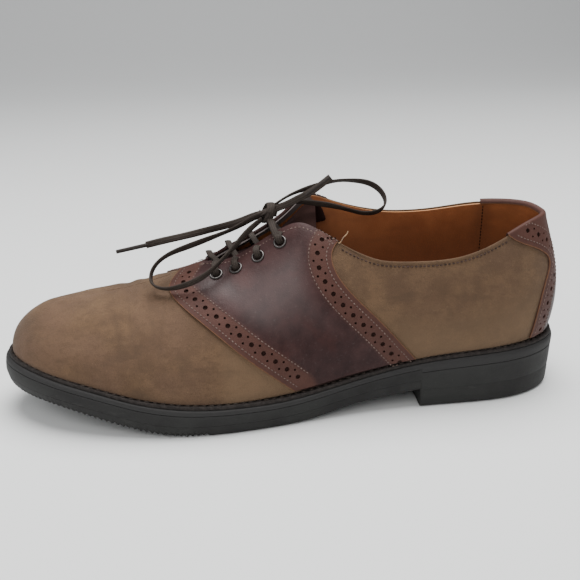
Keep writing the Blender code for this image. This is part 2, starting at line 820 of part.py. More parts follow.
def smooth_route(points, spacing):
    """Points read off a smooth curve through the route's own points, about spacing apart."""
    points = np.array([tuple(point) for point in points])
    knots = np.concatenate([[0], np.cumsum(np.linalg.norm(np.diff(points, axis=0), axis=1))])
    curve = Curve(knots, points)
    count = max(int(round(knots[-1] / spacing)), 2)
    return [Vector(curve(at)) for at in np.linspace(0, knots[-1], count + 1)]


def make_lace(name, route, diameter, step=LACE_STEP):
    """A length of lace as a round tube along its route."""
    data = bpy.data.curves.new(name, "CURVE")
    data.dimensions = "3D"
    data.bevel_depth = diameter / 2
    data.bevel_resolution = 2
    data.use_fill_caps = True
    spline = data.splines.new("POLY")
    points = smooth_route(route, step * diameter)
    spline.points.add(len(points) - 1)
    for point, spot in zip(spline.points, points):
        point.co = (*spot, 1)
    obj = bpy.data.objects.new(name, data)
    bpy.context.scene.collection.objects.link(obj)
    data.materials.append(material("lace_cotton"))
    return obj


def bar_route(number):
    """From over one eyelet, close over the facings' edges, to over the other eyelet of its pair."""
    over_edge = ON_SADDLE + LACE_ROUND / 2 + BAR_CLEAR
    over_eyelet = over_edge + EYELET_SEAT + EYELET_LIP + 2 * GAP
    foot, height = EYELETS[number]
    sides = {}
    for side in SIDES:
        shell = UPPER[side]
        sides[side] = [
            shell.at(foot, height, over_eyelet),
            shell.at(foot, (height + 1) / 2, over_eyelet),
            shell.at(foot, BAR_EDGE, over_edge),
        ]
    middle = (sides[OUTER_SIDE][-1] + sides[INNER_SIDE][-1]) / 2
    middle[2] += BAR_RISE
    return [place(*p) for p in sides[OUTER_SIDE] + [middle] + sides[INNER_SIDE][::-1]]


def make_knot():
    """The core of the bow's knot, which the loops and ends come out of."""
    def build(bm):
        bmesh.ops.create_uvsphere(bm, u_segments=12, v_segments=8, radius=KNOT_RADIUS)
        bmesh.ops.translate(bm, verts=bm.verts, vec=place(*KNOT))

    return mesh_from("lace_knot", "lace_cotton", build)


def make_laces():
    """Bars over the gap between the facings, then the bow, whose routes stay as they were chosen."""
    for number in range(len(EYELETS)):
        make_lace(f"lace_bar_{number + 1}", bar_route(number), LACE_ROUND, BAR_STEP)
    make_knot()
    for name, route in LACE_ROUTES.items():
        make_lace(name, [place(*point) for point in route], LACE_ROUND)
    for name, route in AGLETS.items():
        make_lace(name, [place(*point) for point in route], AGLET_ROUND)


def main():
    clear_scene()
    make_outsole()
    make_welt()
    make_insole()
    cutter = make_eyelet_cutter()
    cut(make_upper(), cutter)
    cut(make_saddle(), cutter)
    make_counter()
    make_tongue()
    make_eyelets()
    make_laces()


if __name__ == "__main__":
    main()
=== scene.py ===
"""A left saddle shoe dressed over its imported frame: leather, broguing, stitching, lace, sole and stage."""

import math

import bmesh
import bpy
import numpy as np
from mathutils import Matrix, Vector, noise
from mathutils.kdtree import KDTree


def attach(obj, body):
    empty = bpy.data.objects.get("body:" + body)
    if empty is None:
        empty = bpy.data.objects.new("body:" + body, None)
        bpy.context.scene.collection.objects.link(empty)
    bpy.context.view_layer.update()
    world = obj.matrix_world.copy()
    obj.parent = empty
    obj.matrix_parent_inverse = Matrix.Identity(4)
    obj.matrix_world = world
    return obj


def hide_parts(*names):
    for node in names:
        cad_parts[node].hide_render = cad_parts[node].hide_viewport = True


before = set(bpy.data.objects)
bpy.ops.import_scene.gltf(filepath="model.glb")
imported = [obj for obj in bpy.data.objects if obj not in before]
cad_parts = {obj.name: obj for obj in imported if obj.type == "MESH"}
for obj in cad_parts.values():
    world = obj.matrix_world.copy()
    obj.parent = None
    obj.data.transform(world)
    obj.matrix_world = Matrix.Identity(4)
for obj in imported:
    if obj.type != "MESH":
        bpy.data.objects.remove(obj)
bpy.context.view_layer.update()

bl_info = {
    "name": "Saddle shoe",
    "version": (1, 0, 0),
    "blender": (4, 5, 0),
    "location": "3D View > Sidebar > Shoe",
    "description": "Dresses a saddle shoe's frame with leather, stitching, broguing, lace and sole",
    "category": "Add Mesh",
}


# Driving sizes
SOLE_LENGTH = 0.306
BALL_WIDTH = 0.104
HEEL_STACK = 0.030
TOE_SPRING = 0.0155
BACK_RISE = 0.070
WALL = 0.0020
LAYER = 0.0012
WELT_THICK = 0.0018
WELT_SHOWS = 0.0024
WELT_HIDDEN = 0.0060
WELT_INSET = 0.0008
RIM = 0.0006
TONGUE_THICK = 0.0022
GAP = 0.0003
LAYER_GAP = 0.0005
EYELET_HOLE = 0.0046
EYELET_FLANGE = 0.0088
OVERLAY_FOOT = 0.02
TONGUE_GAP = 0.0009
TONGUE_CROWN = 0.03
TONGUE_TIP = (-0.005, 0.0, 0.0005)
TONGUE_HEIGHTS = (0.72, 0.80, 0.88, 0.95, 1.0)
VAMP_HEIGHTS = (0.72, 0.80, 0.88, 0.93, 0.97)
EDGE_MERGE = 1e-6

# The heel breast and the flat spot under the ball, as shares of the sole's length
BREAST_FOOT = 0.276
BREAST_SLOPE = 0.018
BREAST_TOP = BREAST_FOOT + BREAST_SLOPE
FLAT_REAR = 0.540
FLAT_FRONT = 0.700

# Outline of the sole seen from above. Shares: along of SOLE_LENGTH, outer and inner of BALL_WIDTH, and
# how much of the rim shows beyond the upper, of WELT_SHOWS
OUTLINE = (
    # along, outer, inner, shows
    (0.000, 0.000, 0.000, 1.80), (0.012, 0.145, 0.145, 1.75), (0.045, 0.245, 0.242, 1.50),
    (0.100, 0.318, 0.310, 1.20), (0.165, 0.342, 0.334, 1.00), (BREAST_FOOT, 0.346, 0.322, 1.00),
    (BREAST_TOP, 0.347, 0.318, 1.00), (0.340, 0.354, 0.288, 1.20), (0.430, 0.386, 0.274, 1.40),
    (0.520, 0.434, 0.322, 1.40), (0.600, 0.470, 0.398, 1.10), (0.670, 0.482, 0.462, 1.00),
    (0.740, 0.466, 0.494, 1.00), (0.810, 0.422, 0.482, 0.90), (0.875, 0.352, 0.432, 0.80),
    (0.930, 0.258, 0.352, 0.70), (0.970, 0.150, 0.256, 0.90), (1.000, -0.050, 0.050, 1.30),
)
# Height of the rubber's top edge over the floor. Shares: along of SOLE_LENGTH, top of HEEL_STACK
SOLE_TOP = (
    # along, top
    (0.000, 1.007), (0.100, 0.993), (0.200, 0.947), (0.270, 0.887), (0.340, 0.780), (0.415, 0.640),
    (0.520, 0.487), (0.600, 0.477), (0.660, 0.497), (0.720, 0.550), (0.780, 0.650), (0.850, 0.820),
    (0.920, 0.947), (0.957, 1.007), (1.000, 1.040),
)
# Height of the tread over the floor in front of the heel. Shares: along of SOLE_LENGTH, under of TOE_SPRING
TREAD = (
    # along, under
    (BREAST_TOP, 0.632), (0.354, 0.503), (0.395, 0.400), (0.425, 0.284), (0.456, 0.155), (0.495, 0.039),
    (FLAT_REAR, 0.000), (FLAT_FRONT, 0.000), (0.745, 0.103), (0.800, 0.348), (0.875, 0.723),
    (0.937, 0.923), (1.000, 1.000),
)
# Sections of the upper round each side, from the toe to the heel. FRONT is the same on both sides.
# Shares: foot (place on the sole's outline)
# and along of SOLE_LENGTH, across of BALL_WIDTH (outwards), up of BACK_RISE over the welt. The last four
# shape the section: how far its first handle leans out (share of BALL_WIDTH) and how high it is, and how
# far in and how high its second handle is (shares of the section's own width and height).
FRONT = (
    # foot, along, across, up, lean, low, reach, high
    (1.000, 0.900, -0.055, 0.370, 0.016, 0.36, 0.40, 0.99),
    (0.985, 0.896, -0.056, 0.378, 0.016, 0.36, 0.40, 0.99),
    (0.960, 0.887, -0.057, 0.392, 0.016, 0.38, 0.40, 0.99),
    (0.920, 0.868, -0.060, 0.424, 0.017, 0.42, 0.42, 0.99),
    (0.870, 0.838, -0.063, 0.482, 0.018, 0.44, 0.43, 0.99),
    (0.800, 0.790, -0.066, 0.581, 0.020, 0.45, 0.44, 0.99),
    (0.730, 0.735, -0.066, 0.691, 0.022, 0.46, 0.44, 0.99),
    (0.670, 0.685, -0.060, 0.787, 0.024, 0.46, 0.44, 0.98),
)
OUTER = (
    *FRONT,
    (0.620, 0.648, -0.050, 0.855, 0.026, 0.46, 0.44, 0.97),
    (0.570, 0.602, 0.020, 0.905, 0.030, 0.46, 0.46, 0.95),
    (0.510, 0.548, 0.042, 1.035, 0.034, 0.45, 0.46, 0.93),
    (0.450, 0.497, 0.072, 1.140, 0.040, 0.44, 0.44, 0.90),
    (0.405, 0.467, 0.105, 1.103, 0.044, 0.42, 0.42, 0.86),
    (0.370, 0.434, 0.150, 1.005, 0.047, 0.41, 0.40, 0.82),
    (0.340, 0.400, 0.196, 0.907, 0.050, 0.40, 0.36, 0.78),
    (0.310, 0.355, 0.238, 0.809, 0.052, 0.38, 0.32, 0.74),
    (0.265, 0.300, 0.262, 0.766, 0.054, 0.37, 0.26, 0.72),
    (0.205, 0.222, 0.268, 0.756, 0.058, 0.36, 0.22, 0.72),
    (0.140, 0.150, 0.244, 0.827, 0.060, 0.36, 0.20, 0.72),
    (0.080, 0.092, 0.190, 0.919, 0.066, 0.40, 0.20, 0.72),
    (0.030, 0.048, 0.108, 0.950, 0.074, 0.43, 0.22, 0.72),
    (0.000, 0.032, 0.000, 0.935, 0.077, 0.45, 0.24, 0.72),
)
INNER = (
    *FRONT,
    (0.620, 0.648, -0.050, 0.855, 0.022, 0.46, 0.44, 0.97),
    (0.570, 0.602, -0.115, 0.935, 0.016, 0.46, 0.46, 0.95),
    (0.510, 0.548, -0.132, 1.037, 0.010, 0.45, 0.46, 0.93),
    (0.450, 0.497, -0.150, 1.145, 0.008, 0.44, 0.44, 0.90),
    (0.405, 0.462, -0.172, 1.232, 0.010, 0.42, 0.42, 0.86),
    (0.370, 0.428, -0.198, 1.174, 0.016, 0.41, 0.40, 0.82),
    (0.340, 0.395, -0.222, 1.088, 0.024, 0.40, 0.36, 0.78),
    (0.310, 0.355, -0.244, 1.009, 0.032, 0.38, 0.32, 0.74),
    (0.265, 0.300, -0.262, 0.935, 0.044, 0.37, 0.26, 0.72),
    (0.205, 0.222, -0.266, 0.910, 0.054, 0.36, 0.22, 0.72),
    (0.140, 0.150, -0.242, 0.938, 0.058, 0.36, 0.20, 0.72),
    (0.080, 0.092, -0.188, 0.955, 0.066, 0.40, 0.20, 0.72),
    (0.030, 0.048, -0.108, 0.955, 0.074, 0.43, 0.22, 0.72),
    (0.000, 0.032, 0.000, 0.935, 0.077, 0.45, 0.24, 0.72),
)
THROAT_ROW = 8

# Edges of the saddle on the upper: height up the section, and the foot share of each edge
SADDLE_EDGES = (
    # height, front, rear
    (0.00, 0.502, 0.285), (0.20, 0.566, 0.316), (0.40, 0.624, 0.356), (0.58, 0.669, 0.398),
    (0.72, 0.697, 0.400), (0.86, 0.703, 0.380), (1.00, 0.672, 0.357),
)
# Edge of the counter on the upper: height up the section, and the foot share of its front edge
COUNTER_EDGE = (
    # height, front
    (0.00, 0.069), (0.20, 0.064), (0.37, 0.054), (0.50, 0.040), (0.60, 0.033), (0.70, 0.046),
    (0.80, 0.074), (0.90, 0.098), (1.00, 0.114),
)
# Eyelets of one side, from the top one down: foot share and height up the section
EYELETS = (
    # foot, height
    (0.484, 0.885), (0.525, 0.875), (0.568, 0.870), (0.606, 0.840),
)

# The bow: along, across and up of each point, in metres
KNOT = (0.1630, -0.0030, 0.1034)
KNOT_RADIUS = 0.0046
LACE_ROUTES = {
    "lace_loop_front": (
        (0.1681, -0.0015, 0.1026), (0.1780, -0.0025, 0.0974), (0.1923, -0.0030, 0.0916),
        (0.2068, -0.0020, 0.0870), (0.2187, 0.0000, 0.0828), (0.2248, 0.0020, 0.0778),
        (0.2268, 0.0050, 0.0735), (0.2258, 0.0090, 0.0708), (0.2208, 0.0125, 0.0696),
        (0.2137, 0.0160, 0.0712), (0.2061, 0.0175, 0.0740), (0.1990, 0.0174, 0.0776),
        (0.1910, 0.0134, 0.0829), (0.1811, 0.0062, 0.0899), (0.1735, 0.0024, 0.0964),
        (0.1666, -0.0001, 0.1010),
    ),
    "lace_loop_rear": (
        (0.1579, -0.0036, 0.1044), (0.1503, -0.0050, 0.1076), (0.1391, -0.0053, 0.1073),
        (0.1296, -0.0073, 0.1050), (0.1170, -0.0102, 0.1007), (0.1069, -0.0140, 0.0972),
        (0.0981, -0.0170, 0.0976), (0.0940, -0.0215, 0.1004), (0.0950, -0.0260, 0.1050),
        (0.1007, -0.0290, 0.1094), (0.1102, -0.0290, 0.1118), (0.1201, -0.0260, 0.1130),
        (0.1305, -0.0200, 0.1132), (0.1406, -0.0146, 0.1124), (0.1502, -0.0104, 0.1104),
        (0.1595, -0.0060, 0.1064),
    ),
    "lace_end_front": (
        (0.1680, -0.0054, 0.1020), (0.1774, -0.0080, 0.0980), (0.1916, -0.0090, 0.0942),
        (0.2062, -0.0090, 0.0911), (0.2207, -0.0090, 0.0884), (0.2282, -0.0090, 0.0868),
    ),
    "lace_end_rear": (
        (0.1591, -0.0009, 0.1062), (0.1537, 0.0000, 0.1084), (0.1480, 0.0004, 0.1112),
        (0.1424, 0.0008, 0.1140),
    ),
}
AGLETS = {
    "aglet_front": ((0.2286, -0.0090, 0.0867), (0.2442, -0.0090, 0.0838)),
    "aglet_rear": ((0.1420, 0.0008, 0.1142), (0.1300, 0.0012, 0.1228)),
}
AGLET_ROUND = 0.0022

OUTER_SIDE = 1
INNER_SIDE = -1
SIDES = (OUTER_SIDE, INNER_SIDE)
SIDE_NAMES = {OUTER_SIDE: "outer", INNER_SIDE: "inner"}

# Sizes of the dressing that follow the frame
SKIN = 0.0009
LINING = 0.0008
ON_UPPER = 0.0002
OVERLAY = 0.0010
ON_SADDLE = ON_UPPER + OVERLAY
PUNCH_DEPTH = 0.006
PIT_DEPTH = 0.00018
# Heights up the section of the collar's roll and of the dip under it
ROLL_LOW = 0.955
ROLL_DIP = 0.93
BAR_LIFT = 0.0019
RUN_LEAN = 0.0034
EYELET_SHARE = 0.84
TONGUE_SAG = 0.0038
SOLE_PITCH = 0.0007
NICK_TOP = 0.14
NICK_REAR = 0.66
NICK_RISE = 0.75
TOE_SWELL = 0.0017
AGLET_OVERLAP = 0.0016
AGLET_SIDES = 16
KNOT_TALL = 1.25
LACE_SIDES = 12
EYELET_SIDES_FINE = 28
SECTION_SPAN = 0.105
LUMPS_ALONG = 12
LUMPS_UP = 4
TACK_HEIGHT = 0.955
LOOSE_FOOT = 0.362

# Soft creases of the nubuck: side, then foot share and height of both ends, width and depth in metres
CREASES = (
    (OUTER_SIDE, 0.790, 0.97, 0.783, 0.55, 0.0030, 0.00055),
    (OUTER_SIDE, 0.783, 0.55, 0.767, 0.24, 0.0032, 0.00065),
    (OUTER_SIDE, 0.748, 0.90, 0.742, 0.45, 0.0034, 0.00045),
    (OUTER_SIDE, 0.716, 0.74, 0.735, 0.38, 0.0030, 0.00040),
    (OUTER_SIDE, 0.700, 0.99, 0.720, 0.80, 0.0026, 0.00050),
    (OUTER_SIDE, 0.815, 0.70, 0.800, 0.36, 0.0034, 0.00035),
    (OUTER_SIDE, 0.150, 0.62, 0.175, 0.30, 0.0050, 0.00040),
    (OUTER_SIDE, 0.235, 0.60, 0.215, 0.25, 0.0060, 0.00040),
    (INNER_SIDE, 0.790, 0.97, 0.775, 0.50, 0.0032, 0.00060),
    (INNER_SIDE, 0.748, 0.90, 0.735, 0.35, 0.0034, 0.00050),
    (INNER_SIDE, 0.700, 0.99, 0.715, 0.65, 0.0028, 0.00040),
    (INNER_SIDE, 0.200, 0.62, 0.190, 0.25, 0.0060, 0.00040),
)
# Dark rubbed spots of the nubuck: side, foot share, height, half length and half height in metres, depth
RUBS = (
    (OUTER_SIDE, 0.772, 0.06, 0.0060, 0.0040, 0.95), (OUTER_SIDE, 0.905, 0.22, 0.0030, 0.0030, 0.55),
    (OUTER_SIDE, 0.840, 0.10, 0.0028, 0.0022, 0.60), (OUTER_SIDE, 0.095, 0.34, 0.0035, 0.0045, 0.65),
    (OUTER_SIDE, 0.735, 0.70, 0.0080, 0.0100, 0.30), (OUTER_SIDE, 0.770, 0.86, 0.0120, 0.0080, 0.25),
    (INNER_SIDE, 0.800, 0.10, 0.0070, 0.0050, 0.70), (INNER_SIDE, 0.130, 0.30, 0.0060, 0.0060, 0.50),
)
# The counter's roll over the collar: out from the collar's edge and up from it, in metres
COUNTER_ROLL = (
    # out, up
    (0.0014, -0.0002), (0.0012, 0.0008), (0.0003, 0.0013), (-0.0010, 0.0013), (-0.0021, 0.0006),
    (-0.0025, -0.0005),
)
# Footbed: share of the way in to the middle line, and height over the frame's foot, in metres
INSOLE_DISH = (
    # inward, rise
    (0.00, 0.0), (0.00, 0.0024), (0.02, 0.0032), (0.10, 0.0030), (0.30, 0.0026), (0.60, 0.0023),
    (0.86, 0.0022),
)
# Side of the rubber, from the tread to the rim: outward in metres, and height as a share of the side
SOLE_PROFILE = (
    # outward, height
    (-0.0026, 0.000), (-0.0014, 0.020), (-0.0009, 0.060), (-0.0007, 0.100), (-0.0005, 0.220),
    (-0.0004, 0.376), (-0.0005, 0.386), (-0.0005, 0.396), (-0.0003, 0.410), (-0.0001, 0.520),
    (0.0001, 0.700), (0.0002, 0.796), (-0.0001, 0.806), (-0.0001, 0.814), (0.0003, 0.824),
    (0.0004, 0.880), (0.0004, 0.930), (0.0001, 0.975), (-0.0005, 1.000),
)
# The welt: share of the way in under the upper, and height over the rubber's rim, in metres
WELT_PROFILE = (
    # inside, rise
    (0.00, 0.0), (-0.01, 0.0006), (0.00, 0.0014), (0.06, 0.0018), (0.16, 0.0019), (0.22, 0.0014),
    (0.30, 0.0015), (1.00, 0.0015), (1.00, 0.0),
)
# Moves of the loose thread from its root, in metres
LOOSE_THREAD = (
    (0.0, 0.0, 0.0), (-0.0012, 0.0006, 0.0014), (-0.0022, 0.0008, 0.0034), (-0.0040, 0.0004, 0.0050),
    (-0.0048, 0.0002, 0.0066),
)
PHOTO_SIDE = 580
SENSOR_MM = 36
CAMERA_AZIMUTH = 9.0
CAMERA_ELEVATION = 23.5
CAMERA_TARGET = (0.150, 0.0, 0.040)
CAMERA_DISTANCE = 0.558
CAMERA_FOCUS = 1000
CAMERA_MIDDLE = (292.68, 322.61)
# Lights: name, place, aim, width, power, tint
LIGHTS = (
    ("top", (-0.25, 0.12, 1.5), (0, 0, 0), 1.4, 50, (1.0, 0.995, 0.985)),
    ("front", (1.3, -0.5, 1.2), (0, 0, 0.05), 1.3, 12, (1.0, 0.99, 0.97)),
    ("toe", (0.1, -1.5, 0.9), (0, 0, 0.05), 1.1, 5, (0.98, 0.99, 1.0)),
)
# Sky: tint, strength
SKY = (0.99, 0.995, 1.0, 0.42)
# The stage: floor and wall in metres
FLOOR_FRONT = 2.4
FLOOR_DROP = 0.0002
SWEEP_START = -0.9
SWEEP_RADIUS = 0.8
WALL_TOP = 3.0


class Curve:
    """A smooth cubic curve through values at rising knots. A closed one joins its last knot to its first."""

    def __init__(self, knots, values, closed=False):
        self.knots = np.asarray(knots, float)
        self.values = np.asarray(values, float)
        self.closed = closed
        count = len(self.values)
        steps = np.diff(self.knots)
        rows = np.eye(count)
        right = np.zeros_like(self.values)
        inner = range(count) if closed else range(1, count - 1)
        for i in inner:
            before = steps[i - 1]
            after = steps[i]
            ahead = self.values[(i + 1) % count]
            behind = self.values[i - 1]
            rows[i, i - 1] = before
            rows[i, i] = 2 * (before + after)
            rows[i, (i + 1) % count] = after
            right[i] = 6 * ((ahead - self.values[i]) / after - (self.values[i] - behind) / before)
        self.bends = np.linalg.solve(rows, right)

    def __call__(self, place):
        if self.closed:
            span = self.knots[-1] - self.knots[0]
            place = self.knots[0] + (place - self.knots[0]) % span
        i = int(np.clip(np.searchsorted(self.knots, place, side="right") - 1, 0, len(self.knots) - 2))
        j = (i + 1) % len(self.values)
        step = self.knots[i + 1] - self.knots[i]
        b = (place - self.knots[i]) / step
        a = 1 - b
        bend = ((a**3 - a) * self.bends[i] + (b**3 - b) * self.bends[j]) * step**2 / 6
        return a * self.values[i] + b * self.values[j] + bend


def column(table, place):
    return np.array([row[place] for row in table], float)


def table_curve(table, size):
    return Curve(column(table, 0), column(table, 1) * size)


top_height = table_curve(SOLE_TOP, HEEL_STACK)
tread_height = table_curve(TREAD, TOE_SPRING)


class Ring:
    """The sole's outline as one closed curve. Its rungs are the rows of OUTLINE, from back to toe tip."""

    def __init__(self):
        self.last = len(OUTLINE) - 1
        outer = [(a * SOLE_LENGTH, o * BALL_WIDTH) for a, o, _, _ in OUTLINE]
        inner = [(a * SOLE_LENGTH, -i * BALL_WIDTH) for a, _, i, _ in OUTLINE[-2:0:-1]]
        points = np.array(outer + inner)
        chords = np.linalg.norm(np.roll(points, -1, axis=0) - points, axis=1)
        self.knots = np.concatenate([[0], np.cumsum(chords)])
        self.curve = Curve(self.knots, points, closed=True)
        self.shares = column(OUTLINE, 0)

    def length_at(self, side, rung):
        place = rung if side == OUTER_SIDE else 2 * self.last - rung
        return np.interp(place, np.arange(len(self.knots)), self.knots)

    def point(self, side, rung, outward=0.0):
        """Along and across of the outline, moved outwards."""
        place = self.length_at(side, rung)
        nudge = 0.0004
        ahead = self.curve(place + nudge) - self.curve(place - nudge)
        ahead /= np.linalg.norm(ahead)
        normal = np.array([-ahead[1], ahead[0]])
        return self.curve(place) + normal * outward

    def rung(self, share):
        return float(np.interp(share, self.shares, np.arange(len(self.shares))))

    def share(self, rung):
        return float(np.interp(rung, np.arange(len(self.shares)), self.shares))

    def run(self, share):
        """Length along the outer side from the back, by which sections of both sides are spread."""
        return self.length_at(OUTER_SIDE, self.rung(share))

    def shown(self, rung):
        """How far the rim shows beyond the upper at a rung."""
        return WELT_SHOWS * float(np.interp(rung, np.arange(len(OUTLINE)), column(OUTLINE, 3)))


RING = Ring()
WIDEST = [max(RING.point(side, rung)[1] * side for rung in np.linspace(8, 15, 71)) for side in SIDES]
SIDE_SHIFT = (WIDEST[0] - WIDEST[1]) / 2


def place(along, across, up):
    """Where a point of the shoe lies in the scene: toe towards -Y, outer side towards +X."""
    return Vector((across - SIDE_SHIFT, MIDDLE - along, up))


def welt_top(along):
    return top_height(along / SOLE_LENGTH) + GAP + WELT_THICK


class Side:
    """One side of the upper: a section stands on each place of the feather line and ends on the top line."""

    def __init__(self, side, table):
        self.side = side
        self.rows = np.arange(len(table), dtype=float)
        self.runs = np.array([-RING.run(row[0]) for row in table])
        self.throat = table[THROAT_ROW][0]
        tops = np.array([row[1:4] for row in table], float)
        self.ridge = Curve(self.rows[: THROAT_ROW + 1], tops[: THROAT_ROW + 1])
        self.edge = Curve(self.rows[THROAT_ROW:], tops[THROAT_ROW:])
        self.shape = Curve(self.rows, np.array([row[4:] for row in table], float))
        self.sections = np.array([self.section(foot) for foot in FEET])

    def section(self, foot):
        """The section's four handles: feather, outward lean, inward reach and top."""
        row = float(np.interp(-RING.run(foot), self.runs, self.rows))
        along, across, up = (self.ridge if row <= THROAT_ROW else self.edge)(row)
        lean, low, reach, high = self.shape(row)
        rung = RING.rung(foot)
        shows = RING.shown(rung)
        feather = RING.point(self.side, rung, -shows)
        outside = RING.point(self.side, rung, -shows + lean * BALL_WIDTH)
        ground = welt_top(foot * SOLE_LENGTH) + GAP
        rise = up * BACK_RISE
        top = np.array([along * SOLE_LENGTH, across * BALL_WIDTH])
        inside = feather + (top - feather) * reach
        return np.array([
            (*feather, welt_top(feather[0]) + GAP),
            (*outside, ground + low * rise),
            (*inside, ground + high * rise),
            (*top, ground + rise),
        ])

    def raw(self, foot, height):
        """Points of the outer face, one for each pair of a foot share and a height."""
        at = np.interp(foot, FEET, np.arange(len(FEET)))
        low = np.minimum(at.astype(int), len(FEET) - 2)
        part = (at - low)[..., None, None]
        handles = self.sections[low] * (1 - part) + self.sections[low + 1] * part
        h = np.asarray(height, float)
        a = 1 - h
        weights = np.stack([a**3, 3 * a**2 * h, 3 * a * h**2, h**3], -1)
        return np.einsum("...i,...ij->...j", weights, handles)

    def normal(self, foot, height):
        """Outward direction of the face. On the ridge in front of the throat it has no part across."""
        foot, height = np.broadcast_arrays(np.asarray(foot, float), np.asarray(height, float))
        run = run_of(foot)
        ahead = self.raw(foot_of(run + STEP), height) - self.raw(foot_of(run - STEP), height)
        rise = self.raw(foot, np.minimum(height + SLIDE, 1)) - self.raw(foot, np.maximum(height - SLIDE, 0))
        ridge = (height > 1 - EDGE_MERGE) & (foot > self.throat - EDGE_MERGE)
        on_ridge = np.cross(ahead, (0.0, 1.0, 0.0))
        found = np.where(ridge[..., None], on_ridge, np.cross(rise, ahead) * self.side)
        flat = found * np.array([1.0, 0.0, 1.0])
        found = np.where((foot < EDGE_MERGE)[..., None], flat, found)
        return found / np.linalg.norm(found, axis=-1, keepdims=True)

    def at(self, foot, height, lift=0.0):
        """Points of the upper's outer face, lifted off it along its normal."""
        return self.raw(foot, height) + self.normal(foot, height) * lift


def run_of(foot):
    """Length along the sole's outer side, from the back, of a foot share."""
    return np.interp(foot, FEET, RUNS)


def foot_of(run):
    return np.interp(run, RUNS, FEET)


STEP = 0.0014
SLIDE = 0.004
RUNS = np.linspace(0, RING.run(1.0), 1200)
FEET = np.interp(RUNS, [RING.length_at(OUTER_SIDE, r) for r in np.linspace(0, RING.last, 3400)],
                 [RING.share(r) for r in np.linspace(0, RING.last, 3400)])
UPPER = {OUTER_SIDE: Side(OUTER_SIDE, OUTER), INNER_SIDE: Side(INNER_SIDE, INNER)}
BACKMOST = min(UPPER[OUTER_SIDE].at(0.0, h, LAYER_GAP + LAYER)[0] for h in np.linspace(0, 1, 51))
MIDDLE = (SOLE_LENGTH + RIM + min(BACKMOST, -RIM)) / 2
THROAT_FOOT = OUTER[THROAT_ROW][0]
saddle_edges = Curve(column(SADDLE_EDGES, 0), np.array([row[1:] for row in SADDLE_EDGES]))
counter_edge = Curve(column(COUNTER_EDGE, 0), column(COUNTER_EDGE, 1))


def settings():
    return bpy.context.scene.shoe_sizes


def colours():
    return bpy.context.scene.shoe_colours


# Shader maths


def step_of(operation, swapped=False):
    """A method of Wire that joins it and another value by one step of maths."""
    def method(self, other=0.0):
        ends = (other, self) if swapped else (self, other)
        return self.finish.node("ShaderNodeMath", {"operation": operation}, dict(enumerate(ends)))

    return method


class Wire:
    """A socket of a finish's nodes, so that shader maths reads as plain expressions."""

    def __init__(self, finish, socket):
        self.finish = finish
        self.socket = socket

    __add__ = step_of("ADD")
    __radd__ = step_of("ADD", True)
    __sub__ = step_of("SUBTRACT")
    __rsub__ = step_of("SUBTRACT", True)
    __mul__ = step_of("MULTIPLY")
    __rmul__ = step_of("MULTIPLY", True)
    least = step_of("MINIMUM")
    most = step_of("MAXIMUM")
    sine = step_of("SINE")

    def rise(self, low, high):
        """0 below low and 1 above high, smooth between them. With high below low it falls."""
        ends = {"Value": self, "From Min": low, "From Max": high, "To Min": 0.0, "To Max": 1.0}
        return self.finish.node("ShaderNodeMapRange", {"interpolation_type": "SMOOTHSTEP"}, ends)


class Finish:
    """A material under construction. Its nodes are laid out in columns from left to right."""

    def __init__(self):
        self.material = bpy.data.materials.new("finish")
        self.material.use_nodes = True
        self.tree = self.material.node_tree
        self.shader = self.tree.nodes["Principled BSDF"]
        self.count = 0
        self.places = self.node("ShaderNodeTexCoord", {}, {}, "Object")

    def node(self, kind, choices, inputs, output=0):
        """Adds a node, makes its choices, fills its sockets and returns one output."""
        made = self.tree.nodes.new(kind)
        made.location = (-220 * (1 + self.count // 5), -220 * (self.count % 5))
        self.count += 1
        for name, value in choices.items():
            setattr(made, name, value)
        for name, value in inputs.items():
            self.fill(made, name, value)
        if isinstance(output, str):
            found = [s for s in made.outputs if output in (s.identifier, s.name)][0]
        else:
            found = made.outputs[output]
        return Wire(self, found)

    def fill(self, node, name, value):
        if isinstance(name, int):
            socket = node.inputs[name]
        else:
            socket = [s for s in node.inputs if name in (s.identifier, s.name)][0]
        if isinstance(value, Wire):
            self.tree.links.new(value.socket, socket)
        elif hasattr(value, "__len__"):
            value = tuple(value)
            socket.default_value = value if len(value) == len(socket.default_value) else (*value, 1.0)
        else:
            socket.default_value = value

    def noise(self, size, detail=3.0, rough=0.55, places=None):
        """Noise whose lumps are about size metres across, from 0 to 1."""
        ends = {"Vector": places or self.places, "Scale": 1 / size, "Detail": detail, "Roughness": rough}
        return self.node("ShaderNodeTexNoise", {}, ends)

    def cells(self, size):
        ends = {"Vector": self.places, "Scale": 1 / size}
        return self.node("ShaderNodeTexVoronoi", {"feature": "F1"}, ends, "Distance")

    def read(self, name):
        return self.node("ShaderNodeAttribute", {"attribute_name": name}, {}, "Fac")

    def stretch(self, scale):
        """The places, squeezed along each axis, for grain that runs one way."""
        return self.node("ShaderNodeMapping", {}, {"Vector": self.places, "Scale": scale})

    def mix(self, first, second, share):
        """A colour between two colours."""
        ends = {"Factor_Float": share, "A_Color": first, "B_Color": second}
        return self.node("ShaderNodeMix", {"data_type": "RGBA"}, ends, "Result_Color")

    def bump(self, height, distance, under=None, strength=1.0):
        ends = {"Height": height, "Distance": distance, "Strength": strength}
        if under:
            ends["Normal"] = under
        return self.node("ShaderNodeBump", {}, ends)

    def done(self, **looks):
        """Fills the shader's own sockets and hands over the material."""
        for name, value in looks.items():
            self.fill(self.shader, name.replace("_", " "), value)
        return self.material


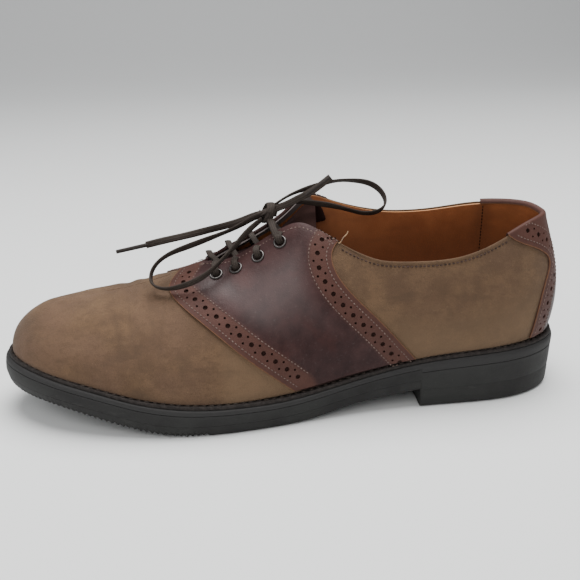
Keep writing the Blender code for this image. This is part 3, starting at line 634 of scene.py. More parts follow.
def nubuck_finish():
    """Matt nubuck: soft blotches, a fine short pile, darker rubbed places, and painted shade along its
    creases and next to the welt.
    """
    f = Finish()
    tones = colours()
    blotch = f.noise(0.034, 3.0, 0.6)
    mottle = f.noise(0.009, 5.0, 0.65)
    pile = f.noise(0.0007, 3.0, 0.7)
    fine = f.noise(0.00028, 2.0, 0.6)
    lit = (blotch * 0.62 + mottle * 0.38).rise(0.40, 0.60)
    tint = f.mix(tones.nubuck_dark, tones.nubuck, lit)
    warm = f.noise(0.052, 2.0).rise(0.50, 0.64) * f.read("vamp").most(0.25)
    tint = f.mix(tint, tones.nubuck_warm, warm * 0.6)
    # The rubbed attribute holds real rubbed spots and painted shade along the creases' troughs.
    rubbed = f.read("rubbed") * (0.55 + mottle * 0.6)
    tint = f.mix(tint, tones.nubuck_rubbed_and_shade, rubbed.least(1.0) * 0.75)
    speck = f.noise(0.0022, 3.0, 0.75).rise(0.58, 0.72)
    tint = f.mix(tint, tones.nubuck_light, speck * 0.30)
    brushed = f.noise(0.0040, 5.0, 0.7, f.stretch((1.0, 0.55, 1.3)))
    tint = f.mix(tint, tones.nubuck_dark, brushed.rise(0.52, 0.36) * 0.55)
    tint = f.mix(tint, tones.nubuck_light, brushed.rise(0.58, 0.74) * 0.25)
    tint = f.mix(tint, tones.nubuck_rubbed_and_shade, pile.rise(0.54, 0.30) * 0.45)
    wiped = f.noise(0.016, 4.0, 0.6, f.stretch((1.0, 0.45, 1.6))).rise(0.56, 0.70)
    tint = f.mix(tint, tones.nubuck_rubbed_and_shade, wiped * 0.38)
    low = f.read("height").rise(0.07, 0.0)
    tint = f.mix(tint, tones.nubuck_shade, low * 0.55)
    # The quarter and heel are lightened towards the bottom.
    low_quarter_lightening = f.read("height").rise(0.60, 0.15) * f.read("vamp").rise(0.3, 0.0)
    tint = f.mix(tint, tones.nubuck_light, low_quarter_lightening * 0.45)
    smudge = f.noise(0.024, 3.0, 0.65, f.stretch((1.0, 0.7, 1.2))).rise(0.60, 0.74)
    tint = f.mix(tint, tones.nubuck_rubbed_and_shade, smudge * 0.42)
    # Painted shade: the nubuck under the saddle and counter, seen only at the bottom of punched holes, is
    # painted dark.
    tint = f.mix(tint, tones.hole_floor_shade, f.read("covered"))
    bent = f.bump(pile * 0.7 + fine * 0.5, 0.00035)
    bent = f.bump(mottle, 0.0006, bent, 0.35)
    return f.done(Base_Color=tint, Roughness=0.93, Normal=bent, Sheen_Weight=0.06, Sheen_Roughness=0.5,
                  Specular_IOR_Level=0.12)


def oxblood_finish(shine, shade=0.0):
    """Smooth dyed leather: fine grain, rubbed lights, a raw tan edge and darker dye beside the rows. With a
    shade, it is darkened towards the hole tone as painted shade.
    """
    f = Finish()
    tones = colours()
    cloud = f.noise(0.030, 3.0)
    patch = f.noise(0.007, 4.0, 0.6)
    grain = f.cells(0.00075)
    creases = f.noise(0.0016, 4.0, 0.65)
    tint = f.mix(tones.oxblood_dark, tones.oxblood, (cloud * 0.6 + patch * 0.4).rise(0.28, 0.66))
    red = f.noise(0.022, 3.0).rise(0.52, 0.66)
    tint = f.mix(tint, tones.oxblood_red, red * 0.30)
    worn = creases.rise(0.56, 0.72)
    tint = f.mix(tint, tones.oxblood_worn_and_highlight, worn * 0.14)
    edge = f.read("edge")
    tint = f.mix(tint, tones.oxblood_band, edge.rise(0.0140, 0.0105) * (0.45 + patch * 0.5))
    ragged = f.noise(0.0022, 3.0, 0.7) * 0.0007
    raw = (edge + ragged).rise(0.00095, 0.00055)
    # Painted shade: the tongue lies in shade between the facings, so its tone is darkened.
    if shade:
        tint = f.mix(tint, tones.hole_dark, shade)
    tint = f.mix(tint, tones.oxblood_dark, (edge + ragged).rise(0.0046, 0.0022) * 0.12)
    tint = f.mix(tint, tones.raw_edge, raw)
    rough = 0.36 + patch * 0.16 + edge.rise(0.0140, 0.0105) * 0.12 + raw * 0.25 + shade * 0.35
    bent = f.bump(grain * 0.6 + creases * 0.7, 0.00011)
    bent = f.bump(patch, 0.0009, bent, 0.30)
    up = f.read("height")
    polish = up.rise(0.24, 0.46) * up.rise(0.90, 0.66) * edge.rise(0.0110, 0.0240)
    return f.done(Base_Color=tint, Roughness=rough, Normal=bent, Coat_Weight=polish * shine,
                  Coat_Roughness=0.42, Specular_IOR_Level=0.12 * (1 - shade))


def lining_finish(light, dark):
    """Undyed lining leather with a pale cut edge, darkened deep inside by painted shade."""
    f = Finish()
    cloud = f.noise(0.040, 3.0)
    patch = f.noise(0.009, 4.0, 0.6)
    pores = f.noise(0.0008, 3.0, 0.7)
    tint = f.mix(dark, light, (cloud * 0.65 + patch * 0.35).rise(0.36, 0.64))
    # Painted shade: the lining darkens deeper down inside the shoe.
    deep = f.read("height").rise(1.0, 0.50)
    tint = f.mix(tint, colours().lining_deep, deep * 0.80)
    foot = f.read("foot")
    # Painted shade: a darker step on both sides of the lining's seam.
    tint = f.mix(tint, colours().lining_deep, foot.rise(0.080, 0.106) * foot.rise(0.140, 0.109) * 0.60)
    worn = f.noise(0.020, 4.0, 0.6, f.stretch((1.0, 0.4, 1.5))).rise(0.50, 0.68)
    tint = f.mix(tint, colours().lining_deep, worn * 0.35)
    tint = f.mix(tint, dark, pores.rise(0.55, 0.35) * 0.35)
    edge = f.read("edge")
    rim = edge.rise(0.0013, 0.0006)
    tint = f.mix(tint, colours().lining_edge, rim)
    # On the facings the lining's top shows leather turned in over the edge, in the pale worn oxblood tone as
    # a painted highlight.
    turned_in_highlight = edge.rise(0.0034, 0.0028) * foot.rise(0.392, 0.400)
    tint = f.mix(tint, colours().oxblood_worn_and_highlight, turned_in_highlight)
    bent = f.bump(pores, 0.00012)
    return f.done(Base_Color=tint, Roughness=0.55 + patch * 0.2, Normal=bent, Specular_IOR_Level=0.35)


def rubber_finish():
    """Moulded rubber with a dusty bloom, small scuffs and a paler rim."""
    f = Finish()
    tones = colours()
    cloud = f.noise(0.025, 3.0)
    dust = f.noise(0.0016, 4.0, 0.7)
    fine = f.noise(0.0005, 2.0)
    scuff = f.noise(0.006, 5.0, 0.7, f.stretch((1.0, 0.35, 2.2))).rise(0.60, 0.70)
    tint = f.mix(tones.rubber_dark, tones.rubber, cloud.rise(0.35, 0.65))
    # Painted highlight: the band at the top of the sole's side is painted paler.
    tint = f.mix(tint, tones.rubber_rim, f.read("rim") * (0.55 + dust * 0.5))
    tint = f.mix(tint, tones.rubber_dust, dust.rise(0.58, 0.74) * 0.30 + scuff * 0.18)
    bent = f.bump(fine * 0.5 + dust, 0.00012)
    return f.done(Base_Color=tint, Roughness=0.55 + dust * 0.2, Normal=bent, Specular_IOR_Level=0.28)


def welt_finish():
    f = Finish()
    tones = colours()
    dust = f.noise(0.002, 4.0, 0.7)
    ribs = f.noise(0.0012, 3.0, 0.6)
    tint = f.mix(tones.welt_dark, tones.welt, dust.rise(0.42, 0.60))
    tint = f.mix(tint, tones.rubber_rim, ribs.rise(0.60, 0.74) * 0.22)
    bent = f.bump(ribs, 0.0003)
    return f.done(Base_Color=tint, Roughness=0.72, Normal=bent, Specular_IOR_Level=0.30)


def thread_finish(tone, dark):
    """Twisted thread, darker where dirt has settled."""
    f = Finish()
    grime = f.noise(0.0016, 3.0, 0.7)
    twist = f.noise(0.00045, 2.0)
    tint = f.mix(dark, tone, (grime * 0.7 + twist * 0.3).rise(0.36, 0.60))
    return f.done(Base_Color=tint, Roughness=0.85, Normal=f.bump(twist, 0.0001), Specular_IOR_Level=0.2)


def pit_shade_finish():
    """Painted shade: the dark inside of a needle's pit."""
    f = Finish()
    tint = f.mix(colours().hole_dark, colours().oxblood_dark, f.noise(0.001).rise(0.4, 0.8) * 0.4)
    return f.done(Base_Color=tint, Roughness=0.95, Specular_IOR_Level=0.1)


def lace_finish():
    """Flat waxed cotton: a fine plait along the lace's own length, rubbed pale on its high threads."""
    f = Finish()
    tones = colours()
    uv = f.node("ShaderNodeUVMap", {"uv_map": "lace"}, {})
    split = f.node("ShaderNodeSeparateXYZ", {}, {"Vector": uv}, "X")
    around = f.node("ShaderNodeSeparateXYZ", {}, {"Vector": uv}, "Y")
    run = split * 5200.0
    turn = around * 37.7
    plait = ((run + turn).sine() * (run - turn).sine()) * 0.5 + 0.5
    fuzz = f.noise(0.0006, 3.0, 0.7)
    grime = f.noise(0.010, 3.0)
    tint = f.mix(tones.lace_dark, tones.lace, (plait * 0.6 + fuzz * 0.4).rise(0.25, 0.75))
    tint = f.mix(tint, tones.lace_worn, grime.rise(0.45, 0.70) * fuzz.rise(0.45, 0.65) * 0.35)
    bent = f.bump(plait * 0.7 + fuzz * 0.5, 0.00018)
    return f.done(Base_Color=tint, Roughness=0.78, Normal=bent, Specular_IOR_Level=0.25)


def aglet_finish():
    f = Finish()
    tones = colours()
    rub = f.noise(0.0015, 3.0, 0.6)
    tint = f.mix(tones.lace_dark, tones.lace_worn, rub.rise(0.55, 0.75) * 0.35)
    return f.done(Base_Color=tint, Roughness=0.60 + rub * 0.2, Normal=f.bump(rub, 0.00005),
                  Specular_IOR_Level=0.3)


def eyelet_finish():
    """Enamelled metal, worn through to a pale shine on the ring's crown."""
    f = Finish()
    tones = colours()
    rub = f.noise(0.0012, 4.0, 0.65)
    crown = (f.read("crown") + rub * 0.6).rise(0.85, 1.25)
    tint = f.mix(tones.eyelet_dark, tones.eyelet_worn, crown)
    return f.done(Base_Color=tint, Roughness=0.42 - crown * 0.12, Metallic=0.35 + crown * 0.6,
                  Normal=f.bump(rub, 0.00006))


def floor_finish():
    f = Finish()
    # Painted shade: the tone darkens from the floor's to the backdrop's up the sweep behind the shoe.
    behind = f.node("ShaderNodeSeparateXYZ", {}, {"Vector": f.places}, "X").rise(0.0, -1.15)
    tint = f.mix(colours().floor, colours().backdrop, behind)
    return f.done(Base_Color=tint, Roughness=0.75, Specular_IOR_Level=0.25)


def finish(name):
    """A material of this scene by its name, made the first time it is asked for."""
    if name in bpy.data.materials:
        known = bpy.data.materials[name]
        if known.get("shoe_finish"):
            return known
    tones = colours()
    made = {
        "shoe_nubuck": nubuck_finish,
        "shoe_oxblood": lambda: oxblood_finish(0.64),
        # The tongue's finish is darkened by painted shade.
        "shoe_tongue": lambda: oxblood_finish(0.0, 0.80),
        "shoe_lining": lambda: lining_finish(tones.lining, tones.lining_dark),
        "shoe_insole": lambda: lining_finish(tones.lining_dark, tones.lining_deep),
        "shoe_rubber": rubber_finish,
        "shoe_welt": welt_finish,
        "shoe_thread_pale": lambda: thread_finish(tones.thread_pale, tones.thread_dark),
        "shoe_thread_taupe": lambda: thread_finish(tones.thread_taupe, tones.thread_dark),
        "shoe_thread_welt": lambda: thread_finish(tones.thread_welt, tones.hole_dark),
        "shoe_thread_loose": lambda: thread_finish(tones.thread_loose, tones.thread_pale),
        "shoe_pit_shade": pit_shade_finish,
        "shoe_lace": lace_finish,
        "shoe_aglet": aglet_finish,
        "shoe_eyelet": eyelet_finish,
        "shoe_floor": floor_finish,
    }[name]()
    made.name = name
    made["shoe_finish"] = True
    return made


# Mesh helpers


def new_piece(name, mesh, finish_name):
    obj = bpy.data.objects.new(name, mesh)
    bpy.context.scene.collection.objects.link(obj)
    if finish_name:
        mesh.materials.append(finish(finish_name))
    return obj


def smooth(obj, angle=40):
    obj.data.shade_smooth()
    obj.data.set_sharp_from_angle(angle=math.radians(angle))
    return obj


def mesh_from(name, finish_name, build, layers=()):
    """A piece whose mesh is filled in by build(bm), with a float layer for each name in layers."""
    mesh = bpy.data.meshes.new(name)
    bm = bmesh.new()
    for layer in layers:
        bm.verts.layers.float.new(layer)
    build(bm)
    bmesh.ops.remove_doubles(bm, verts=bm.verts, dist=EDGE_MERGE)
    bmesh.ops.recalc_face_normals(bm, faces=bm.faces)
    face_outwards(bm)
    bm.to_mesh(mesh)
    bm.free()
    return new_piece(name, mesh, finish_name)


def face_outwards(bm):
    """Turns an open surface so that its faces look away from its middle."""
    middle = sum((v.co for v in bm.verts), Vector()) / len(bm.verts)
    outwards = sum(f.calc_area() * f.normal.dot(f.calc_center_median() - middle) for f in bm.faces)
    if outwards < 0:
        bmesh.ops.reverse_faces(bm, faces=bm.faces)


def skin(bm, rows, closed=False):
    """Quads between each row of points and the next. Closed rows join their ends."""
    verts = [[bm.verts.new(point) for point in row] for row in rows]
    for low, high in zip(verts, verts[1:]):
        pairs = list(zip(low, high))
        ends = pairs[1:] + pairs[:1] if closed else pairs[1:]
        for (a, b), (d, c) in zip(pairs, ends):
            bm.faces.new(list(dict.fromkeys((a, d, c, b))))
    return verts


def ladder(bm, ring):
    """Fills a ring of vertices with a strip of faces from its outer side to its inner side."""
    count = len(ring)
    for i in range(count // 2):
        corners = (ring[i], ring[i + 1], ring[(count - i - 1) % count], ring[(count - i) % count])
        bm.faces.new(list(dict.fromkeys(corners)))


def applied(obj):
    """The piece with its modifiers made part of its mesh."""
    mesh = bpy.data.meshes.new_from_object(obj.evaluated_get(bpy.context.evaluated_depsgraph_get()))
    mesh.name = obj.name
    old = obj.data
    obj.modifiers.clear()
    obj.data = mesh
    if old.users == 0:
        bpy.data.meshes.remove(old)
    return obj


def soften(obj):
    """One level of Subdivision Surface, made part of the mesh."""
    soft = obj.modifiers.new("soft", "SUBSURF")
    soft.levels = 1
    soft.render_levels = 1
    return applied(obj)


def give_wall(obj, thickness, outwards, crease):
    """Thickness by Solidify, then rounded."""
    shell = obj.modifiers.new("wall", "SOLIDIFY")
    shell.thickness = thickness
    shell.offset = 1.0 if outwards else -1.0
    shell.edge_crease_inner = crease
    shell.edge_crease_outer = crease
    return soften(obj)


def cut(obj, cutter):
    hole = obj.modifiers.new("holes", "BOOLEAN")
    hole.operation = "DIFFERENCE"
    hole.solver = "MANIFOLD"
    hole.object = cutter
    return applied(obj)


def set_values(obj, name, values):
    """A float attribute of the piece's points."""
    layer = obj.data.attributes.get(name) or obj.data.attributes.new(name, "FLOAT", "POINT")
    layer.data.foreach_set("value", np.asarray(values, np.float32))


def set_distance(obj, name, points):
    """Stores how far each of the piece's points is from a line of points."""
    tree = KDTree(len(points))
    for i, point in enumerate(points):
        tree.insert(point, i)
    tree.balance()
    set_values(obj, name, [tree.find(v.co)[2] for v in obj.data.vertices])


def hand_over(obj, node):
    """The piece rides on the shoe and stands for a CAD node if one is named."""
    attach(obj, "root")
    if node:
        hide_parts(*([node] if isinstance(node, str) else node))
    return obj


# Lines on the upper


def step_on(side, foot, height, move):
    """The foot share and height reached from a place on the upper by a small move in space."""
    shell = UPPER[side]
    start = shell.raw(foot, height)
    target = start + move
    for _ in range(3):
        here = shell.raw(foot, height)
        d = 0.002
        by_foot = (shell.raw(foot + d, height) - shell.raw(foot - d, height)) / (2 * d)
        up = 0.004 if height < 0.5 else -0.004
        by_height = (shell.raw(foot, height + up) - here) / up
        slopes = np.stack([by_foot, by_height], 1)
        change = np.linalg.lstsq(slopes, target - here, rcond=None)[0]
        foot = float(np.clip(foot + change[0], 0.0012, 0.998))
        height = float(np.clip(height + change[1], 0.0, 1.0))
    return foot, height


def inset(side, line, distance, towards):
    """A line of the upper moved sideways by a distance. towards is the move in foot share and height."""
    shell = UPPER[side]
    found = []
    for i, (foot, height) in enumerate(line):
        before = line[max(i - 1, 0)]
        after = line[min(i + 1, len(line) - 1)]
        run = shell.raw(*after) - shell.raw(*before)
        out = shell.normal(foot, min(height, 0.995))
        across = np.cross(out, run)
        across /= np.linalg.norm(across)
        hint = shell.raw(foot + towards[0] * 0.01, min(max(height + towards[1] * 0.01, 0), 1))
        if np.dot(across, hint - shell.raw(foot, height)) < 0:
            across = -across
        found.append(step_on(side, foot, height, across * distance))
    return found


class Spots:
    """Places on the upper for stitches or holes, with the way along the row and the way out."""

    def __init__(self):
        self.rows = []

    def add(self, point, ahead, out, size=1.0):
        self.rows.append((point, ahead, out, size))

    def object(self, name):
        points, ahead, out, size = zip(*self.rows)
        mesh = bpy.data.meshes.new(name)
        mesh.from_pydata([tuple(p) for p in points], [], [])
        for key, kind, field, values in (
            ("ahead", "FLOAT_VECTOR", "vector", ahead),
            ("out", "FLOAT_VECTOR", "vector", out),
            ("size", "FLOAT", "value", size),
        ):
            layer = mesh.attributes.new(key, kind, "POINT")
            layer.data.foreach_set(field, np.asarray(values, np.float32).ravel())
        return new_piece(name, mesh, None)


def spread(points, pitch, start=0.5):
    """Rows of a list of arrays read off at an even pitch along its first three columns."""
    points = np.asarray(points, float)
    runs = np.concatenate([[0], np.cumsum(np.linalg.norm(np.diff(points[:, :3], axis=0), axis=1))])
    count = max(int(runs[-1] / pitch), 1)
    wanted = (np.arange(count) + start) * runs[-1] / count
    return [np.array([np.interp(w, runs, points[:, c]) for c in range(points.shape[1])]) for w in wanted]


def row_on(side, line, pitch, lift, start=0.5):
    """Even places along a line of the upper: point, way along and way out, in the scene's axes."""
    shell = UPPER[side]
    known = [(*shell.raw(f, h), f, h) for f, h in line]
    found = []
    for row in spread(known, pitch, start):
        foot, height = row[3], min(row[4], 0.9985)
        i = int(np.argmin([np.linalg.norm(np.array(k[:3]) - row[:3]) for k in known]))
        before, after = known[max(i - 1, 0)], known[min(i + 1, len(known) - 1)]
        run = np.array(after[:3]) - np.array(before[:3])
        out = shell.normal(foot, height)
        point = shell.raw(foot, height) + out * (lift - sink(side, foot, height))
        found.append((place(*point), turned(run), turned(out)))
    return found


def turned(way):
    """A direction of the shoe in the scene's axes."""
    return Vector((way[1], -way[0], way[2])).normalized()


# What repeats, by Geometry Nodes


class Repeat:
    """A node tree that sets one small shape on each point of a mesh."""

    def __init__(self, name, inputs):
        self.tree = bpy.data.node_groups.new(name, "GeometryNodeTree")
        face = self.tree.interface
        face.new_socket("Places", in_out="INPUT", socket_type="NodeSocketGeometry")
        for label, value in inputs.items():
            made = face.new_socket(label, in_out="INPUT", socket_type="NodeSocketFloat")
            made.default_value = value
        face.new_socket("Geometry", in_out="OUTPUT", socket_type="NodeSocketGeometry")
        self.start = self.tree.nodes.new("NodeGroupInput")
        self.end = self.tree.nodes.new("NodeGroupOutput")

    def node(self, kind, choices, links, values=None):
        made = self.tree.nodes.new(kind)
        for name, value in choices.items():
            setattr(made, name, value)
        for name, value in (values or {}).items():
            made.inputs[name].default_value = value
        for name, socket in links.items():
            self.tree.links.new(socket, made.inputs[name])
        return made

    def named(self, name, kind):
        made = self.node("GeometryNodeInputNamedAttribute", {"data_type": kind}, {}, {"Name": name})
        return made.outputs[0]

    def scatter(self, shape, scale):
        """The shape on every place, its X along the row and its Z out of the surface."""
        ahead = {"Vector": self.named("ahead", "FLOAT_VECTOR")}
        first = self.node("FunctionNodeAlignRotationToVector", {"axis": "X"}, ahead)
        second = self.node(
            "FunctionNodeAlignRotationToVector", {"axis": "Z", "pivot_axis": "X"},
            {"Rotation": first.outputs[0], "Vector": self.named("out", "FLOAT_VECTOR")},
        )
        links = {
            "Points": self.start.outputs["Places"],
            "Instance": shape,
            "Rotation": second.outputs[0],
            "Scale": scale,
        }
        return self.node("GeometryNodeInstanceOnPoints", {}, links).outputs[0]

    def close(self, instances, finish_name):
        real = self.node("GeometryNodeRealizeInstances", {}, {"Geometry": instances})
        dress = self.node("GeometryNodeSetMaterial", {}, {"Geometry": real.outputs[0]})
        if finish_name:
            dress.inputs["Material"].default_value = finish(finish_name)
        self.tree.links.new(dress.outputs[0], self.end.inputs[0])


def stitch_tree(finish_name):
    """One rounded stitch on each place. Its sizes are inputs of the tree."""
    tree = Repeat("stitches", {"Length": 0.0016, "Width": 0.0007, "Height": 0.0005})
    ball = tree.node("GeometryNodeMeshUVSphere", {}, {}, {"Segments": 6, "Rings": 4, "Radius": 0.5})
    soft = tree.node("GeometryNodeSetShadeSmooth", {}, {"Geometry": ball.outputs[0]})
    labels = {"X": "Length", "Y": "Width", "Z": "Height"}
    sizes = {axis: tree.start.outputs[label] for axis, label in labels.items()}
    scale = tree.node("ShaderNodeCombineXYZ", {}, sizes)
    tree.close(tree.scatter(soft.outputs[0], scale.outputs[0]), finish_name)
    return tree.tree


def disc_tree(finish_name):
    """One flat disc on each place."""
    tree = Repeat("needle_pits", {"Width": 0.0006})
    disc = tree.node("GeometryNodeMeshCircle", {"fill_type": "NGON"}, {}, {"Vertices": 8, "Radius": 0.5})
    width = tree.start.outputs["Width"]
    scale = tree.node("ShaderNodeCombineXYZ", {}, {"X": width, "Y": width, "Z": width})
    tree.close(tree.scatter(disc.outputs[0], scale.outputs[0]), finish_name)
    return tree.tree


def punch_tree():
    """A round punch on each place, as wide as the place's own size."""
    tree = Repeat("punches", {"Depth": 0.004})
    punch = tree.node(
        "GeometryNodeMeshCylinder", {"fill_type": "NGON"}, {}, {"Vertices": 14, "Radius": 0.5, "Depth": 1.0},
    )
    size = tree.named("size", "FLOAT")
    scale = tree.node("ShaderNodeCombineXYZ", {}, {"X": size, "Y": size, "Z": tree.start.outputs["Depth"]})
    tree.close(tree.scatter(punch.outputs["Mesh"], scale.outputs[0]), None)
    return tree.tree


def grown(spots, name, tree, **inputs):
    """The tree's result over the spots as a plain mesh object."""
    source = spots.object(name + "_places")
    made = source.modifiers.new("repeat", "NODES")
    made.node_group = tree
    for item in tree.interface.items_tree:
        if item.item_type == "SOCKET" and item.in_out == "INPUT" and item.name in inputs:
            made[item.identifier] = inputs[item.name]
    bpy.context.view_layer.update()
    evaluated = source.evaluated_get(bpy.context.evaluated_depsgraph_get())
    mesh = bpy.data.meshes.new_from_object(evaluated)
    mesh.name = name
    obj = new_piece(name, mesh, None)
    bpy.data.objects.remove(source, do_unlink=True)
    return obj


# The upper's leather


def relief(side, foot, height):
    """How far the nubuck stands off the last: soft creases where the foot bends."""
    spot = np.array([foot * SOLE_LENGTH, height * SECTION_SPAN])
    found = 0.0
    for crease_side, f1, h1, f2, h2, width, depth in CREASES:
        if crease_side != side:
            continue
        start = np.array([f1 * SOLE_LENGTH, h1 * SECTION_SPAN])
        end = np.array([f2 * SOLE_LENGTH, h2 * SECTION_SPAN])
        run = end - start
        share = np.dot(spot - start, run) / np.dot(run, run)
        beyond = max(-share, share - 1, 0.0) * np.linalg.norm(run)
        off = abs(run[0] * (spot - start)[1] - run[1] * (spot - start)[0]) / np.linalg.norm(run)
        ends = math.exp(-((beyond / (2.5 * width)) ** 2))
        trough = math.exp(-((off / width) ** 2))
        ridge = math.exp(-(((off - 2.0 * width) / (1.1 * width)) ** 2))
        found += depth * ends * (0.45 * ridge - trough)
    return found


def lumps(side, foot, height, depth):
    """How far the leather's slow lumps stand out at a place of the upper."""
    return noise.noise(Vector((foot * LUMPS_ALONG, height * LUMPS_UP, side))) * depth


def upper_mesh(name, finish_name, heights, pitch, moved):
    """Both sides of the upper as one open sheet. moved gives each place's step off the face."""
    count = int(RUNS[-1] / pitch)
    feet = foot_of(np.linspace(RUNS[-1], 0, count + 1))
    throat = int(np.argmin(np.abs(feet - THROAT_FOOT)))
    feet[throat] = THROAT_FOOT
    values = []

    def build(bm):
        columns = []
        for side, chosen in ((OUTER_SIDE, feet), (INNER_SIDE, feet[::-1])):
            for foot in chosen:
                spots = UPPER[side].at(np.full(len(heights), foot), heights)
                outs = UPPER[side].normal(np.full(len(heights), foot), heights)
                steps = [moved(side, foot, h) if moved else 0.0 for h in heights]
                columns.append([place(*(p + n * s)) for p, n, s in zip(spots, outs, steps)])
                values.append([(foot, h) for h in heights])
        verts = skin(bm, columns + columns[:1])
        values.append(values[0])
        keep_places(bm, verts, values)

    return mesh_from(name, finish_name, build, ("foot", "height"))


def keep_places(bm, verts, values):
    """Keeps each vertex's foot share and height with it."""
    foot_layer = bm.verts.layers.float["foot"]
    height_layer = bm.verts.layers.float["height"]
    for row, row_values in zip(verts, values):
        for vert, (foot, height) in zip(row, row_values):
            vert[foot_layer] = foot
            vert[height_layer] = height


def values_of(obj, name):
    found = np.zeros(len(obj.data.vertices), np.float32)
    obj.data.attributes[name].data.foreach_get("value", found)
    return found


def push(obj, distance):
    """Moves the sheet's points along their own normals."""
    normals = [v.normal.copy() for v in obj.data.vertices]
    for v, n in zip(obj.data.vertices, normals):
        v.co += n * distance
    return obj


def fade(values, low, high):
    x = np.clip((values - low) / (high - low), 0, 1)
    return x * x * (3 - 2 * x)


def make_upper():
    roll = settings().collar_roll

    def moved(side, foot, height):
        off = relief(side, foot, height) * (1 - 0.75 * float(fade(height, 0.86, 0.97)))
        off += lumps(side, foot, height, 0.00035) * min(1.0, (1 - height) * 14)
        if foot < THROAT_FOOT and height > ROLL_LOW:
            off += roll * math.sin((height - ROLL_LOW) / (1 - ROLL_LOW) * math.pi)
        elif foot < THROAT_FOOT and height > ROLL_DIP:
            off -= roll * 0.5 * math.sin((height - ROLL_DIP) / (ROLL_LOW - ROLL_DIP) * math.pi)
        return off

    heights = np.concatenate([[0, 0.012], np.linspace(0.035, 0.90, 30),
                              [0.925, 0.942, ROLL_LOW, 0.972, 0.988, 1.0]])
    obj = upper_mesh("shoe_upper", "shoe_nubuck", heights, 0.0030, moved)
    give_wall(obj, SKIN, False, 0.0)
    smooth(obj, 60)
    foot, height = values_of(obj, "foot"), values_of(obj, "height")
    steps = np.linspace(0, 1, 201)
    front, rear = [np.interp(height, steps, edge) for edge in np.array([saddle_edges(h) for h in steps]).T]
    under = fade(np.minimum(front - foot, foot - rear) * SOLE_LENGTH, 0.0015, 0.0030)
    steps = np.linspace(0, 1, 101)
    back = np.interp(height, steps, [RING.run(counter_edge(h)) for h in steps])
    under = np.maximum(under, fade(back - run_of(foot), 0.0015, 0.0030))
    set_values(obj, "covered", under)
    set_values(obj, "vamp", fade(foot, 0.60, 0.72))
    across = np.array([v.co.x for v in obj.data.vertices])
    rub = np.zeros(len(foot))
    for side, f, h, wide, tall, much in RUBS:
        facing = (across * side > -0.01) | (height > 0.9)
        off = ((foot - f) * SOLE_LENGTH / wide) ** 2 + ((height - h) * SECTION_SPAN / tall) ** 2
        rub = np.maximum(rub, facing * much * np.exp(-off))
    # Painted shade: the nubuck is darkened along each crease's trough, stored with the rubbed spots.
    for side, f1, h1, f2, h2, _, _ in CREASES:
        start = np.array([f1 * SOLE_LENGTH, h1 * SECTION_SPAN])
        run = np.array([f2 * SOLE_LENGTH, h2 * SECTION_SPAN]) - start
        away = np.stack([foot * SOLE_LENGTH, height * SECTION_SPAN], 1) - start
        share = np.clip(away @ run / (run @ run), 0.0, 1.0)
        off = np.linalg.norm(away - share[:, None] * run, axis=1)
        rub = np.maximum(rub, (across * side > 0) * 0.42 * np.exp(-((off / 0.0011) ** 2)))
    set_values(obj, "rubbed", rub)
    hand_over(obj, "upper")


def make_lining():
    heights = np.concatenate([np.linspace(0.0, 0.92, 16), [0.95, 0.97, 0.985]])
    obj = upper_mesh("shoe_lining", "shoe_lining", heights, 0.0042, None)
    push(obj, -(SKIN + 0.00015))
    give_wall(obj, LINING, False, 0.6)
    smooth(obj, 60)
    feet = foot_of(np.linspace(0, run_of(THROAT_FOOT), 500))
    points = []
    for side in SIDES:
        points += [place(*p) for p in UPPER[side].at(feet, np.full(len(feet), 0.985), -SKIN)]
    set_distance(obj, "edge", points)
    hand_over(obj, None)


def overlay_columns(name, finish_name, strips, thick):
    """Sheets on the upper given as strips of columns, each a side and its list of (foot, height, lift)."""
    def build(bm):
        for strip in strips:
            rows = []
            values = []
            for side, line in strip:
                feet, heights, lifts = np.array(line).T
                points = UPPER[side].at(feet, heights) + UPPER[side].normal(feet, heights) * lifts[:, None]
                rows.append([place(*p) for p in points])
                values.append(list(zip(feet, heights)))
            keep_places(bm, skin(bm, rows), values)

    obj = mesh_from(name, finish_name, build, ("foot", "height"))
    give_wall(obj, thick, True, 0.75)
    return smooth(obj, 45)


def saddle_edge_line(which, count=90):
    """Foot shares and heights along the saddle's front (0) or rear (1) edge, from the welt up."""
    return [(float(saddle_edges(h)[which]), float(h)) for h in np.linspace(OVERLAY_FOOT, 1, count)]


def counter_edge_line(count=60):
    return [(float(counter_edge(h)), float(h)) for h in np.linspace(OVERLAY_FOOT, 1, count)]


def brogue(spots, side, line, sizes):
    """Big holes at an even pitch along a line, with pairs of small ones between them."""
    places = row_on(side, line, sizes.hole_pitch, 0.0)
    for point, ahead, out in places:
        spots.add(point, ahead, out, sizes.hole_big)
    across = row_on(side, line, sizes.hole_pitch, 0.0, start=1.0)
    for point, ahead, out in across[:-1]:
        sideways = out.cross(ahead).normalized()
        for way in (1, -1):
            spots.add(point + sideways * way * sizes.hole_pair / 2, ahead, out, sizes.hole_small)


def stitch(spots, pits, side, line, pitch, lift):
    """A row of stitches with a needle pit at both ends of each. Without pits it has none."""
    for point, ahead, out in row_on(side, line, pitch, lift):
        spots.add(point, ahead, out)
        for way in (1, -1) if pits else ():
            pits.add(point + ahead * way * pitch * 0.5 - out * PIT_DEPTH, ahead, out)


def place_stitches(name, spots, finish_name, length, width, height):
    obj = grown(spots, name, stitch_tree(finish_name), Length=length, Width=width, Height=height)
    hand_over(obj, None)
    return obj


